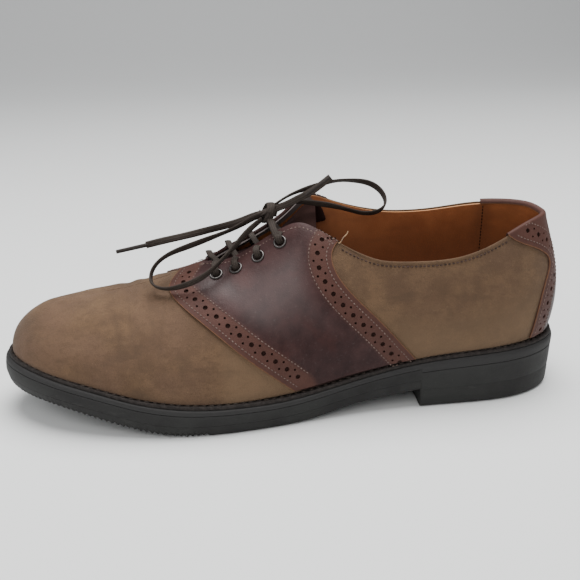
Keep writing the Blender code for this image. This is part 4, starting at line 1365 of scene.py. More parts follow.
def punch_and_sew(obj, node, edges, holes, threads, pits):
    """Cuts the holes into a smooth leather piece, and sews its rows of stitches with their pits."""
    sizes = settings()
    punches = grown(holes, "punches", punch_tree(), Depth=PUNCH_DEPTH)
    cut(obj, punches)
    bpy.data.objects.remove(punches, do_unlink=True)
    smooth(obj, 45)
    set_distance(obj, "edge", edges)
    hand_over(obj, node)
    place_stitches(node + "_stitches", threads, "shoe_thread_pale",
                   sizes.stitch_length, sizes.thread_width, sizes.thread_width * 0.7)
    dark = grown(pits, node + "_needle_pits", disc_tree("shoe_pit_shade"), Width=sizes.thread_width * 1.1)
    hand_over(dark, None)


def sink(side, foot, height):
    """How far the saddle's inner front corner lies down into the ridge."""
    if side == OUTER_SIDE:
        return 0.0
    front, rear = saddle_edges(height)
    return 0.0008 * fade(height, 0.60, 0.90) * fade((front - foot) / (front - rear), 0.35, 0.10)


def make_saddle():
    sizes = settings()
    front_top, rear_top = saddle_edges(1.0)
    to_throat = (front_top - THROAT_FOOT) / (front_top - rear_top)
    shares = np.concatenate([np.linspace(0, 0.02, 2), np.linspace(0.045, to_throat, 4),
                             np.linspace(to_throat, 0.975, 42)[1:], [0.99, 1.0]])
    heights = np.concatenate([[OVERLAY_FOOT, 0.03], np.linspace(0.05, 0.96, 34), [0.98, 1.0]])
    strips = []
    for side in SIDES:
        strip = []
        for share in shares:
            line = []
            for h in heights:
                front, rear = saddle_edges(h)
                foot = front + (rear - front) * share
                lift = ON_UPPER + lumps(side, foot, h, 0.0002)
                line.append((foot, h, lift - sink(side, foot, h)))
            strip.append((side, line))
        strips.append(strip)
    obj = overlay_columns("shoe_saddle", "shoe_oxblood", strips, OVERLAY)
    holes, threads, pits = Spots(), Spots(), Spots()
    edges = []
    for side in SIDES:
        for which, towards in enumerate(((-1, 0), (1, 0))):
            line = saddle_edge_line(which)
            edges += [place(*UPPER[side].at(f, h, ON_SADDLE)) for f, h in saddle_edge_line(which, 400)]
            brogue(holes, side, inset(side, line, sizes.hole_row, towards), sizes)
            for row in (sizes.stitch_row, sizes.stitch_row_far):
                stitch(threads, pits, side, inset(side, line, row, towards), sizes.stitch_pitch, ON_SADDLE)
        feet = np.linspace(THROAT_FOOT - 0.004, 0.3600, 80)
        facing = inset(side, [(float(f), 1.0) for f in feet], sizes.stitch_row, (0, -1))
        stitch(threads, pits, side, facing, sizes.stitch_pitch, ON_SADDLE)
    for side in SIDES:
        for foot, height in EYELETS:
            point, out = eyelet_place(side, foot, height)
            holes.add(point, out.orthogonal().normalized(), out, EYELET_HOLE)
    punch_and_sew(obj, "saddle", edges, holes, threads, pits)


def collar_roll_points(side, foot, steps):
    """Points round the counter's roll over the collar at a foot share, one for each (out, up)."""
    shell = UPPER[side]
    edge = shell.raw(foot, 1.0)
    out = shell.normal(foot, 0.98)
    up = edge - shell.raw(foot, 0.96)
    up /= np.linalg.norm(up)
    return [place(*(edge + out * lift + up * rise)) for lift, rise in steps]


def make_counter():
    sizes = settings()
    heights = np.concatenate([[OVERLAY_FOOT, 0.035], np.linspace(0.06, 0.97, 30), [1.0]])
    shares = np.concatenate([[1.0, 0.985], np.linspace(0.95, -0.95, 31), [-0.985, -1.0]])

    def build(bm):
        rows = []
        for share in shares:
            side = OUTER_SIDE if share >= 0 else INNER_SIDE
            feet = np.array([foot_of(abs(share) * RING.run(counter_edge(h))) for h in heights])
            points = UPPER[side].at(feet, heights, ON_SADDLE)[:-1]
            rows.append([place(*p) for p in points] + collar_roll_points(side, feet[-1], COUNTER_ROLL))
        skin(bm, rows)

    obj = mesh_from("shoe_counter", "shoe_oxblood", build)
    give_wall(obj, OVERLAY, False, 0.75)
    holes, threads, pits = Spots(), Spots(), Spots()
    edges = []
    for side in SIDES:
        line = counter_edge_line()
        edges += [place(*UPPER[side].at(f, h, ON_SADDLE)) for f, h in counter_edge_line(300)]
        brogue(holes, side, inset(side, line[:-6], sizes.hole_row, (-1, 0)), sizes)
        for row in (sizes.stitch_row, sizes.stitch_row_far):
            stitch(threads, pits, side, inset(side, line[:-4], row, (-1, 0)), sizes.stitch_pitch, ON_SADDLE)
    for side in SIDES:
        for foot in foot_of(np.linspace(0, RING.run(counter_edge(1.0)), 200)):
            edges += collar_roll_points(side, foot, COUNTER_ROLL[-1:])
    punch_and_sew(obj, "counter", edges, holes, threads, pits)


def make_collar_stitches():
    """The row of dark dashes under the collar's rolled edge, and the lining's seam inside."""
    sizes = settings()
    threads, seam = Spots(), Spots()
    for side in SIDES:
        feet = np.linspace(0.350, float(counter_edge(1.0)) + 0.004, 80)
        row = inset(side, [(float(f), 1.0) for f in feet], sizes.collar_row, (0, -1))
        stitch(threads, None, side, row, sizes.collar_pitch, 0.0002)
        line = [(0.108, float(h)) for h in np.linspace(0.97, 0.30, 30)]
        stitch(seam, None, side, line, 0.0022, -(SKIN + LINING + 0.0002))
    place_stitches("collar_stitches", threads, "shoe_thread_taupe",
                   sizes.collar_pitch * 0.75, 0.0009, 0.0006)
    # The lining's seam stitches take the pits' painted shade.
    place_stitches("lining_seam", seam, "shoe_pit_shade", 0.0019, 0.0007, 0.0005)


def make_tongue():
    feet = np.concatenate([np.linspace(0.660, THROAT_FOOT, 6), np.linspace(THROAT_FOOT - 0.004, 0.405, 34)])
    spread_heights = {True: TONGUE_HEIGHTS, False: VAMP_HEIGHTS}

    def row(foot, depth):
        table = spread_heights[bool(foot < THROAT_FOOT)]
        heights = np.interp(np.linspace(0, 1, 11), np.linspace(0, 1, len(table)), table)
        spots = np.full(len(heights), foot)
        outer = list(UPPER[OUTER_SIDE].at(spots, heights, -depth))
        inner = list(UPPER[INNER_SIDE].at(spots, heights, -depth))
        sag = TONGUE_SAG * float(fade(foot, THROAT_FOOT - 0.01, THROAT_FOOT - 0.12))
        for line in (outer, inner):
            for point, share in zip(line, fade(heights, 0.84, 1.0)):
                point[2] -= sag * share
        bridge = []
        if foot < THROAT_FOOT:
            gap = np.linalg.norm(outer[-1] - inner[-1])
            for share in (0.25, 0.5, 0.75):
                point = outer[-1] * (1 - share) + inner[-1] * share
                point[2] += gap * TONGUE_CROWN * (1 - (2 * share - 1) ** 2)
                bridge.append(point)
        else:
            ends = outer[-1], UPPER[OUTER_SIDE].at(foot, 1.0, -depth), inner[-1]
            bridge = [(ends[0] + ends[1]) / 2, ends[1], (ends[1] + ends[2]) / 2]
        return outer + bridge + inner[::-1]

    faces = []
    for depth in (WALL + TONGUE_GAP, WALL + TONGUE_GAP + TONGUE_THICK):
        rows = [row(foot, depth) for foot in feet]
        rows.append([point + np.array(TONGUE_TIP) for point in rows[-1]])
        faces.append([[place(*point) for point in r] for r in rows])

    def build(bm):
        skin(bm, faces[0])
        skin(bm, faces[1])
        for end in (0, -1):
            skin(bm, [faces[0][end], faces[1][end]])
            skin(bm, [[r[end] for r in face] for face in faces])

    obj = mesh_from("shoe_tongue", "shoe_tongue", build)
    smooth(soften(obj), 50)
    set_distance(obj, "edge", faces[0][-1])
    hand_over(obj, "tongue")


def make_insole():
    shares = np.linspace(0, RING.last, 90)
    ring = [(OUTER_SIDE, r) for r in shares] + [(INNER_SIDE, r) for r in shares[-2:0:-1]]

    def build(bm):
        rows = []
        for inward, rise in INSOLE_DISH:
            row = []
            for side, rung in ring:
                out = -(RING.shown(rung) + WALL + 2 * LAYER_GAP)
                along, across = RING.point(side, rung, out)
                middle = RING.point(OUTER_SIDE, rung)[1] + RING.point(INNER_SIDE, rung)[1]
                across += (middle / 2 - across) * inward
                row.append(place(along, across, welt_top(along) + GAP + rise))
            rows.append(row)
        verts = skin(bm, rows, closed=True)
        ladder(bm, verts[0])
        ladder(bm, verts[-1])

    obj = mesh_from("shoe_insole", "shoe_insole", build)
    smooth(obj, 60)
    # At this height the whole footbed takes the lining's painted shade deep inside.
    set_values(obj, "height", np.full(len(obj.data.vertices), 0.3))
    set_values(obj, "edge", np.full(len(obj.data.vertices), 1.0))
    hand_over(obj, "insole")


# The sole


def outline_ring(pitch):
    """Sides and rungs all round the outline at an even pitch."""
    total = RING.knots[-1]
    count = int(total / pitch)
    found = []
    last = 2 * RING.last
    for length in np.linspace(0, total, count, endpoint=False):
        at = float(np.interp(length, RING.knots, np.arange(len(RING.knots))))
        found.append((OUTER_SIDE, at) if at <= RING.last else (INNER_SIDE, last - at))
    return found


def under_height(rung):
    """Height of the tread: the heel block stands on the floor behind its breast."""
    share = RING.share(rung)
    if share <= BREAST_FOOT + 1e-9:
        return 0.0
    return max(float(tread_height(share)), 0.0)


def rim_row(ring, outward, rise):
    """Points beside the sole's outline, by outward(rung), at a height over the rubber's top edge."""
    row = []
    for side, rung in ring:
        along, across = RING.point(side, rung, outward(rung))
        row.append(place(along, across, top_height(along / SOLE_LENGTH) + rise))
    return row


def make_outsole():
    sizes = settings()
    ring = outline_ring(SOLE_PITCH)
    stops = sorted({RING.rung(BREAST_FOOT), RING.rung(BREAST_TOP)})
    fixed = []
    for side, rung in ring:
        near = [s for s in stops if abs(s - rung) < 0.02]
        fixed.append((side, near[0] if near else rung))
    lengths = np.arange(len(ring)) * SOLE_PITCH

    def build(bm):
        rows = []
        for outward, share in SOLE_PROFILE:
            row = []
            for (side, rung), run in zip(fixed, lengths):
                nick = 0.0
                if share < NICK_TOP and RING.share(rung) > NICK_REAR:
                    wave = 0.5 + 0.5 * math.cos(run / sizes.nick_pitch * math.tau)
                    nick = sizes.nick_depth * wave * (1 - share / NICK_TOP)
                swell = TOE_SWELL * math.sin(math.pi * share) * float(fade(RING.share(rung), 0.78, 0.97))
                along, across = RING.point(side, rung, outward - nick + swell)
                top = top_height(along / SOLE_LENGTH)
                low = under_height(rung) + nick * NICK_RISE
                row.append(place(along, across, low + (top - low) * share))
            rows.append(row)
        for rise in (0.0, GAP + WELT_THICK):
            rows.append(rim_row(fixed, lambda rung: -(RING.shown(rung) + WELT_HIDDEN + 2 * GAP), rise))
        verts = skin(bm, rows, closed=True)
        layer = bm.verts.layers.float["rim"]
        for (_, share), row in zip(SOLE_PROFILE, verts):
            for vert in row:
                vert[layer] = float(np.clip((share - 0.74) / 0.10, 0, 1))
        ladder(bm, verts[0])
        ladder(bm, verts[-1])

    obj = mesh_from("shoe_outsole", "shoe_rubber", build, ("rim",))
    smooth(obj, 35)
    hand_over(obj, "outsole")


def make_welt():
    sizes = settings()
    ring = outline_ring(0.0022)

    def build(bm):
        rows = []
        for inside, rise in WELT_PROFILE:
            def inwards(rung, share=inside):
                return -WELT_INSET - (RING.shown(rung) + WELT_HIDDEN - WELT_INSET) * share

            rows.append(rim_row(ring, inwards, GAP + rise))
        skin(bm, rows + rows[:1], closed=True)

    obj = mesh_from("shoe_welt", "shoe_welt", build)
    smooth(obj, 50)
    hand_over(obj, "welt")
    threads = Spots()
    ring = outline_ring(sizes.welt_pitch)
    spots = rim_row(ring, lambda rung: -WELT_INSET - 0.55 * RING.shown(rung), GAP + WELT_THICK + 0.0002)
    for (side, rung), spot in zip(ring, spots):
        ahead = RING.point(side, min(rung + 0.05, RING.last)) - RING.point(side, max(rung - 0.05, 0))
        threads.add(spot, turned((*ahead, 0.0)), Vector((0, 0, 1)))
    place_stitches("welt_stitches", threads, "shoe_thread_welt",
                   sizes.welt_pitch * 0.78, 0.0011, 0.0010)


# Eyelets and lace


def eyelet_place(side, foot, height):
    """Middle of an eyelet on the upper, and its way out."""
    return place(*UPPER[side].at(foot, height)), turned(UPPER[side].normal(foot, height))


def circle(radius, rise, sides):
    """Points round a circle about Z at a height."""
    angles = [math.tau * step / sides for step in range(sides)]
    return [Vector((radius * math.cos(angle), radius * math.sin(angle), rise)) for angle in angles]


def make_eyelets():
    numbers = range(1, len(EYELETS) + 1)
    names = [f"eyelet_{SIDE_NAMES[side]}_{number}" for side in SIDES for number in numbers]
    hole = EYELET_HOLE / 2 - 0.0001
    wide = EYELET_FLANGE / 2 * EYELET_SHARE
    profile = (
        # radius, height, crown
        (hole - 0.0004, -0.0024, 0.0),
        (hole, -0.0024, 0.0),
        (hole, ON_SADDLE - 0.0001, 0.0),
        (wide - 0.0002, ON_SADDLE - 0.0001, 0.0),
        (wide, ON_SADDLE + 0.0003, 0.1),
        (wide - 0.0002, ON_SADDLE + 0.0007, 0.7),
        (wide - 0.0006, ON_SADDLE + 0.0009, 1.0),
        (wide - 0.0010, ON_SADDLE + 0.0007, 0.4),
        (hole + 0.0003, ON_SADDLE + 0.0001, 0.0),
        (hole - 0.0003, ON_SADDLE - 0.0004, 0.0),
    )
    profile += profile[:1]

    def build(bm):
        layer = bm.verts.layers.float["crown"]
        for side in SIDES:
            for foot, height in EYELETS:
                spot, out = eyelet_place(side, foot, height)
                turn = out.to_track_quat("Z", "Y")
                rows = [[spot + turn @ p for p in circle(radius, rise, EYELET_SIDES_FINE)]
                        for radius, rise, _ in profile]
                for verts, (_, _, crown) in zip(skin(bm, rows, closed=True), profile):
                    for vert in verts:
                        vert[layer] = crown

    obj = mesh_from("shoe_eyelets", "shoe_eyelet", build, ("crown",))
    smooth(obj, 60)
    hand_over(obj, names)


def smooth_route(points, spacing):
    """Points read off a smooth curve through the route's own points, about spacing apart."""
    points = np.array([tuple(point) for point in points])
    knots = np.concatenate([[0], np.cumsum(np.linalg.norm(np.diff(points, axis=0), axis=1))])
    curve = Curve(knots, points)
    count = max(int(round(knots[-1] / spacing)), 2)
    return np.array([curve(at) for at in np.linspace(0, knots[-1], count + 1)])


def ribbon(name, finish_name, route, wides, width, thick, spacing=0.0013, ripple=0.0):
    """A flat lace along a route. wides are the ways that its width points at each point of the route."""
    points = smooth_route(route, spacing)
    hints = np.array([tuple(w) for w in wides], float)
    shares = np.linspace(0, 1, len(points))
    hints = np.stack([np.interp(shares, np.linspace(0, 1, len(hints)), hints[:, c]) for c in range(3)], 1)
    runs = np.concatenate([[0.0], np.cumsum(np.linalg.norm(np.diff(points, axis=0), axis=1))])
    rings = []
    for point, way, hint, run in zip(points, np.gradient(points, axis=0), hints, runs):
        way = way / np.linalg.norm(way)
        across = hint - way * np.dot(hint, way)
        across /= np.linalg.norm(across)
        flat = np.cross(way, across)
        turn = ripple * math.sin(run * 160.0 + len(name))
        near, far = math.cos(turn), math.sin(turn)
        across, flat = across * near + flat * far, flat * near - across * far
        ring = []
        for step in range(LACE_SIDES):
            angle = math.tau * step / LACE_SIDES
            x = math.copysign(abs(math.cos(angle)) ** 0.65, math.cos(angle)) * width / 2
            y = math.copysign(abs(math.sin(angle)) ** 0.80, math.sin(angle)) * thick / 2
            ring.append(point + across * x + flat * y)
        rings.append(ring)

    def build(bm):
        uv = bm.loops.layers.uv.new("lace")
        verts = [[bm.verts.new(p) for p in ring] for ring in rings]
        for k, (low, high) in enumerate(zip(verts, verts[1:])):
            for i in range(LACE_SIDES):
                j = (i + 1) % LACE_SIDES
                face = bm.faces.new((low[i], low[j], high[j], high[i]))
                corners = ((runs[k], i), (runs[k], i + 1), (runs[k + 1], i + 1), (runs[k + 1], i))
                for loop, (u, v) in zip(face.loops, corners):
                    loop[uv].uv = (u, v / LACE_SIDES)
        bm.faces.new(verts[0][::-1])
        bm.faces.new(verts[-1])

    return smooth(mesh_from(name, finish_name, build), 55), points


def lace_run(number):
    """One crossing: up out of the near eyelet, over the gap and down into the far one."""
    sizes = settings()
    foot, height = EYELETS[number]
    halves = []
    for side, lean in ((OUTER_SIDE, 1.0), (INNER_SIDE, 0.4)):
        spot, out = eyelet_place(side, foot, height)
        edge = place(*UPPER[side].at(foot, 0.99, BAR_LIFT)) + Vector((0, RUN_LEAN, 0)) * lean
        step = (edge - spot).normalized()
        halves.append([
            spot - out * 0.0030 - step * 0.0004,
            spot + out * 0.0012,
            spot + out * 0.0036 + step * 0.0022,
            spot.lerp(edge, 0.62) + out * (BAR_LIFT + 0.0012) * 0.9,
            edge,
        ])
    near, far = halves
    route = near + [(near[-1] + far[-1]) / 2] + far[::-1]
    obj, _ = ribbon(f"shoe_lace_run_{number + 1}", "shoe_lace", route, [Vector((0, 1, 0))] * len(route),
                    sizes.lace_width * 0.92, sizes.lace_thick, 0.0009)
    hand_over(obj, f"lace_bar_{number + 1}")


def plane_way(points):
    """The way that a loop's own plane faces."""
    points = np.array([tuple(p) for p in points])
    _, _, axes = np.linalg.svd(points - points.mean(0))
    return axes[2]


def make_lace():
    sizes = settings()
    for number in range(len(EYELETS)):
        lace_run(number)
    tips = {name: aglet(name, [place(*p) for p in route]) for name, route in AGLETS.items()}
    for name, route in LACE_ROUTES.items():
        root = [k * 0.6 + p * 0.4 for k, p in zip(KNOT, route[0])]
        spots = [place(*p) for p in (root, *route)]
        loop = "loop" in name
        wide = plane_way(spots) if loop else np.array([-0.32, 0.05, 0.94])
        if name == "lace_loop_front" and wide[2] <= 0:
            wide = -wide
        if name == "lace_end_rear":
            spots += [place(*p) for p in AGLETS["aglet_rear"][1:]]
        obj, points = ribbon("shoe_" + name, "shoe_lace", spots, [wide] * len(spots), sizes.lace_width,
                             sizes.lace_thick, 0.0013, 0.22)
        hand_over(obj, name)
        length = float(np.sum(np.linalg.norm(np.diff(points, axis=0), axis=1)))
        tuple(points[0])
        [tuple(p) for p in points]


def aglet(name, route):
    """The stiff wrapped tip of the lace, rounded at its end."""
    start, end = route
    way = (end - start).normalized()
    start = start - way * AGLET_OVERLAP
    turn = way.to_track_quat("Z", "Y")
    length = (end - start).length
    radius = AGLET_ROUND / 2
    profile = ((0.3, 0.0), (0.96, 0.0002), (1.0, 0.0008), (0.98, length * 0.5), (0.96, length - 0.0004),
               (0.88, length), (0.30, length - 0.0001))

    def build(bm):
        rows = [[start + turn @ p for p in circle(radius * scale, rise, AGLET_SIDES)]
                for scale, rise in profile]
        verts = skin(bm, rows, closed=True)
        bm.faces.new(verts[0][::-1])
        bm.faces.new(verts[-1])

    obj = smooth(mesh_from("shoe_" + name, "shoe_aglet", build), 40)
    hand_over(obj, name)
    return obj


def make_knot():
    """The bow's knot: a wrap round its middle and the strands that come up into it from the top eyelets."""
    width, thick = settings().lace_width, settings().lace_thick
    centre = place(*KNOT)
    along = Vector((0, -1, 0))
    radius = KNOT_RADIUS
    parts = []
    ring = []
    wides = []
    tilt = Vector((0.20, 0.35, 0.92)).normalized()
    side = tilt.cross(along).normalized()
    for step in range(15):
        angle = math.tau * step / 13 + 0.6
        reach = tilt * math.cos(angle) * KNOT_TALL + side * math.sin(angle)
        ring.append(centre + reach * radius * (0.86 + 0.010 * step) + along * (0.0010 * (step / 14 - 0.5)))
        wides.append(along)
    parts.append(ribbon("wrap", "shoe_lace", ring, wides, width * 1.15, thick, 0.0009)[0])
    for sign in (1, -1):
        start = centre + along * 0.0048 * sign - tilt * 0.0006
        end = centre - along * 0.0048 * sign + side * 0.0012 * sign
        lift = centre + tilt * 0.0016 * sign
        fold = [start, start.lerp(lift, 0.6), lift, lift.lerp(end, 0.4), end]
        parts.append(ribbon("fold", "shoe_lace", fold, [side] * 5, width * 1.2, thick * 1.5, 0.0009)[0])
    for side_of in SIDES:
        foot, height = EYELETS[0]
        spot, out = eyelet_place(side_of, foot, height)
        step = (centre - spot).normalized()
        route = [spot - out * 0.0028, spot + out * 0.0014, spot + out * 0.0034 + step * 0.0028,
                 spot.lerp(centre, 0.55) + out * 0.0026, centre - step * 0.0022]
        wides = [Vector((0.1, 1, 0.15))] * len(route)
        parts.append(ribbon("strand", "shoe_lace", route, wides, width * 0.92, thick, 0.0009)[0])
    obj = joined("shoe_lace_knot", parts)
    hand_over(obj, "lace_knot")


def joined(name, parts):
    """Several pieces as one mesh."""
    bm = bmesh.new()
    for part in parts:
        bm.from_mesh(part.data)
    mesh = bpy.data.meshes.new(name)
    bm.to_mesh(mesh)
    bm.free()
    kind = parts[0].data.materials[0]
    for part in parts:
        bpy.data.objects.remove(part, do_unlink=True)
    obj = new_piece(name, mesh, None)
    mesh.materials.append(kind)
    return smooth(obj, 55)


def make_threads():
    """A bar of stitches at the foot of the throat and one loose thread's end at the collar."""
    tack = Spots()
    for side in SIDES:
        for step in range(4):
            foot = THROAT_FOOT + 0.0015 + 0.0030 * step
            point = UPPER[side].at(foot, TACK_HEIGHT, ON_SADDLE)
            out = UPPER[side].normal(foot, TACK_HEIGHT)
            rise = UPPER[side].raw(foot, TACK_HEIGHT + 0.015) - UPPER[side].raw(foot, TACK_HEIGHT - 0.015)
            tack.add(place(*point), turned(rise), turned(out))
    place_stitches("throat_tack", tack, "shoe_thread_pale", 0.0028, 0.0006, 0.0005)
    start = UPPER[OUTER_SIDE].at(LOOSE_FOOT, TACK_HEIGHT, ON_SADDLE)
    route = [place(*(start + np.array(step))) for step in LOOSE_THREAD]
    obj, _ = ribbon("loose_thread", "shoe_thread_loose", route, [Vector((0, 1, 0))] * len(route), 0.00055,
                    0.00045, 0.0005)
    hand_over(obj, None)


# The stage


def make_camera():
    """The photograph's viewpoint, found from the shoe's own outline."""
    azimuth, elevation = math.radians(CAMERA_AZIMUTH), math.radians(CAMERA_ELEVATION)
    back = np.array([math.sin(azimuth) * math.cos(elevation), math.cos(azimuth) * math.cos(elevation),
                     math.sin(elevation)])
    right = np.cross(-back, (0, 0, 1.0))
    right /= np.linalg.norm(right)
    up = np.cross(right, -back)
    data = bpy.data.cameras.new("photo_view")
    obj = bpy.data.objects.new("photo_view", data)
    bpy.context.scene.collection.objects.link(obj)
    axes = [Vector((v[1], -v[0], v[2])) for v in (right, up, back)]
    turn = Matrix(axes).transposed().to_4x4()
    turn.translation = place(*(np.array(CAMERA_TARGET) + back * CAMERA_DISTANCE))
    obj.matrix_world = turn
    data.sensor_width = SENSOR_MM
    data.lens = CAMERA_FOCUS / PHOTO_SIDE * SENSOR_MM
    data.shift_x = (PHOTO_SIDE / 2 - CAMERA_MIDDLE[0]) / PHOTO_SIDE
    data.shift_y = (CAMERA_MIDDLE[1] - PHOTO_SIDE / 2) / PHOTO_SIDE
    data.clip_start = 0.01
    bpy.context.scene.camera = obj


def soft_light(name, spot, aim, size, power, tint):
    data = bpy.data.lights.new(name, "AREA")
    data.shape = "DISK"
    data.size = size
    data.energy = power
    data.color = tint
    obj = bpy.data.objects.new(name, data)
    obj.location = spot
    obj.rotation_euler = (Vector(aim) - Vector(spot)).to_track_quat("-Z", "Y").to_euler()
    bpy.context.scene.collection.objects.link(obj)


def make_stage():
    """A pale floor that curves up behind, soft lights and a pale sky."""
    profile = [(FLOOR_FRONT, 0.0), (SWEEP_START, 0.0)]
    for step in range(1, 13):
        angle = math.radians(7.5 * step)
        profile.append((SWEEP_START - SWEEP_RADIUS * math.sin(angle), SWEEP_RADIUS * (1 - math.cos(angle))))
    profile.append((SWEEP_START - SWEEP_RADIUS, WALL_TOP))
    bm = bmesh.new()
    skin(bm, [[Vector((x, y, z - FLOOR_DROP)) for x, z in profile] for y in (-4.0, 4.0)])
    bmesh.ops.recalc_face_normals(bm, faces=bm.faces)
    bm.faces.ensure_lookup_table()
    if bm.faces[0].normal.z < 0:
        bmesh.ops.reverse_faces(bm, faces=bm.faces)
    mesh = bpy.data.meshes.new("stage_floor")
    bm.to_mesh(mesh)
    bm.free()
    floor = new_piece("stage_floor", mesh, "shoe_floor")
    smooth(floor, 60)
    for light in LIGHTS:
        soft_light(*light)
    world = bpy.data.worlds.new("pale_sky")
    world.use_nodes = True
    sky = world.node_tree.nodes["Background"].inputs
    sky["Color"].default_value = (*SKY[:3], 1)
    sky["Strength"].default_value = SKY[3]
    bpy.context.scene.world = world
    make_camera()


# Sizes and colours that a user changes


def length(name, default, description):
    return bpy.props.FloatProperty(name=name, description=description, default=default, min=0.0,
                                   unit="LENGTH", subtype="DISTANCE", precision=5)


def tint(name, default, description):
    return bpy.props.FloatVectorProperty(name=name, description=description, default=default, size=3,
                                         subtype="COLOR", min=0.0, max=1.0)


class ShoeSizes(bpy.types.PropertyGroup):
    """Sizes of the shoe's dressing."""

    collar_roll: length("Collar roll", 0.00035, "How far the collar's rolled edge stands proud")
    stitch_row: length("Stitch row", 0.0029, "From a cut edge in to its first row of stitches")
    stitch_row_far: length("Far stitch row", 0.0122, "From a cut edge in to its second row of stitches")
    stitch_pitch: length("Stitch pitch", 0.0021, "From one stitch to the next on the saddle and counter")
    stitch_length: length("Stitch length", 0.0015, "Length of one stitch on the saddle and counter")
    thread_width: length("Thread width", 0.00075, "Width of the sewing thread")
    hole_row: length("Hole row", 0.0076, "From a cut edge in to the middle of its punched holes")
    hole_pitch: length("Hole pitch", 0.0073, "From one big punched hole to the next")
    hole_big: length("Big hole", 0.0026, "Width of a big punched hole")
    hole_small: length("Small hole", 0.0013, "Width of a small punched hole")
    hole_pair: length("Hole pair", 0.0043, "Between the middles of two small holes of a pair")
    collar_row: length("Collar row", 0.0028, "From the collar's edge down to its row of stitches")
    collar_pitch: length("Collar pitch", 0.0022, "From one stitch to the next under the collar")
    welt_pitch: length("Welt pitch", 0.0042, "From one stitch to the next on the welt")
    lace_width: length("Lace width", 0.0038, "Width of the flat lace")
    lace_thick: length("Lace thickness", 0.0013, "Thickness of the flat lace")
    nick_pitch: length("Nick pitch", 0.0030, "From one nick to the next under the toe's edge")
    nick_depth: length("Nick depth", 0.0013, "Depth of the nicks under the toe's edge")


class ShoeColours(bpy.types.PropertyGroup):
    """Colours of the shoe's finishes, in linear light."""

    nubuck: tint("Nubuck", (0.127, 0.077, 0.044), "Main tone of the nubuck")
    nubuck_dark: tint("Dark nubuck", (0.089, 0.054, 0.033), "Darker blotches of the nubuck")
    nubuck_warm: tint("Warm nubuck", (0.119, 0.071, 0.047), "Redder places near the toe")
    nubuck_light: tint("Light nubuck", (0.165, 0.108, 0.064), "Light flecks of the pile")
    # Also the painted shade along the nubuck's creases.
    nubuck_rubbed_and_shade: tint("Rubbed nubuck", (0.062, 0.040, 0.027), "Dark rubbed places and pores")
    nubuck_shade: tint("Low nubuck", (0.060, 0.038, 0.026), "The nubuck next to the welt")
    oxblood: tint("Oxblood", (0.049, 0.023, 0.022), "Main tone of the smooth leather")
    oxblood_dark: tint("Dark oxblood", (0.022, 0.010, 0.010), "Darker dye of the smooth leather")
    oxblood_red: tint("Red oxblood", (0.062, 0.021, 0.018), "Redder places of the smooth leather")
    # Also a painted highlight on the turned-in top of the facings.
    oxblood_worn_and_highlight: tint("Worn oxblood", (0.110, 0.090, 0.086), "Rubbed high places of the grain")
    oxblood_band: tint("Band", (0.082, 0.037, 0.028), "The punched bands of the smooth leather")
    raw_edge: tint("Raw edge", (0.128, 0.062, 0.033), "Cut edges of the smooth leather")
    lining: tint("Lining", (0.370, 0.128, 0.046), "Main tone of the lining")
    lining_dark: tint("Dark lining", (0.255, 0.083, 0.030), "Darker tone of the lining")
    # Tone of the painted shade deep inside and beside the seam, and of worn streaks.
    lining_deep: tint("Deep lining", (0.140, 0.050, 0.020), "The lining deep inside")
    lining_edge: tint("Lining edge", (0.420, 0.200, 0.085), "The lining's cut edge")
    rubber: tint("Rubber", (0.017, 0.017, 0.016), "Main tone of the rubber")
    rubber_dark: tint("Dark rubber", (0.010, 0.009, 0.009), "Darker tone of the rubber")
    # Also a painted highlight on the top band of the sole's side.
    rubber_rim: tint("Rubber rim", (0.021, 0.020, 0.020), "The rubber's rubbed rim")
    rubber_dust: tint("Rubber dust", (0.060, 0.058, 0.055), "Dust and scuffs on the rubber")
    welt: tint("Welt", (0.021, 0.016, 0.014), "Main tone of the welt")
    welt_dark: tint("Dark welt", (0.009, 0.006, 0.005), "Darker tone of the welt")
    thread_pale: tint("Pale thread", (0.155, 0.110, 0.094), "Thread of the saddle and counter")
    thread_dark: tint("Soiled thread", (0.070, 0.042, 0.036), "Soiled places of the thread")
    thread_taupe: tint("Collar thread", (0.022, 0.013, 0.009), "Thread under the collar")
    thread_welt: tint("Welt thread", (0.040, 0.030, 0.024), "Thread of the welt")
    thread_loose: tint("Tan thread", (0.400, 0.260, 0.140), "The loose thread at the collar")
    # Painted shade at the bottom of punched holes.
    hole_floor_shade: tint("Hole floor", (0.030, 0.014, 0.011), "What shows at the bottom of punched holes")
    # Painted shade for the needle pits and the tongue; also the welt thread's soiled tone.
    hole_dark: tint("Hole", (0.008, 0.005, 0.005), "Inside of punched and needle holes")
    lace: tint("Lace", (0.038, 0.028, 0.022), "Main tone of the lace")
    lace_dark: tint("Dark lace", (0.015, 0.010, 0.008), "Between the lace's threads")
    lace_worn: tint("Worn lace", (0.085, 0.070, 0.058), "Rubbed threads of the lace")
    eyelet_dark: tint("Eyelet", (0.022, 0.018, 0.017), "The eyelets' enamel")
    eyelet_worn: tint("Worn eyelet", (0.110, 0.103, 0.100), "Bare metal on the eyelets' crowns")
    floor: tint("Floor", (0.720, 0.732, 0.732), "The floor")
    # The backdrop tone is painted shade up the sweep.
    backdrop: tint("Backdrop", (0.320, 0.325, 0.330), "The backdrop behind the floor")


# Operators


class SHOE_OT_stage(bpy.types.Operator):
    """Makes the floor, the lights and the photograph's camera"""

    bl_idname = "shoe.stage"
    bl_label = "Stage"

    def execute(self, context):
        make_stage()
        return {"FINISHED"}


class SHOE_OT_lace(bpy.types.Operator):
    """Laces the shoe: crossings, bow, ends and their tips"""

    bl_idname = "shoe.lace"
    bl_label = "Lace"

    def execute(self, context):
        make_lace()
        make_knot()
        return {"FINISHED"}


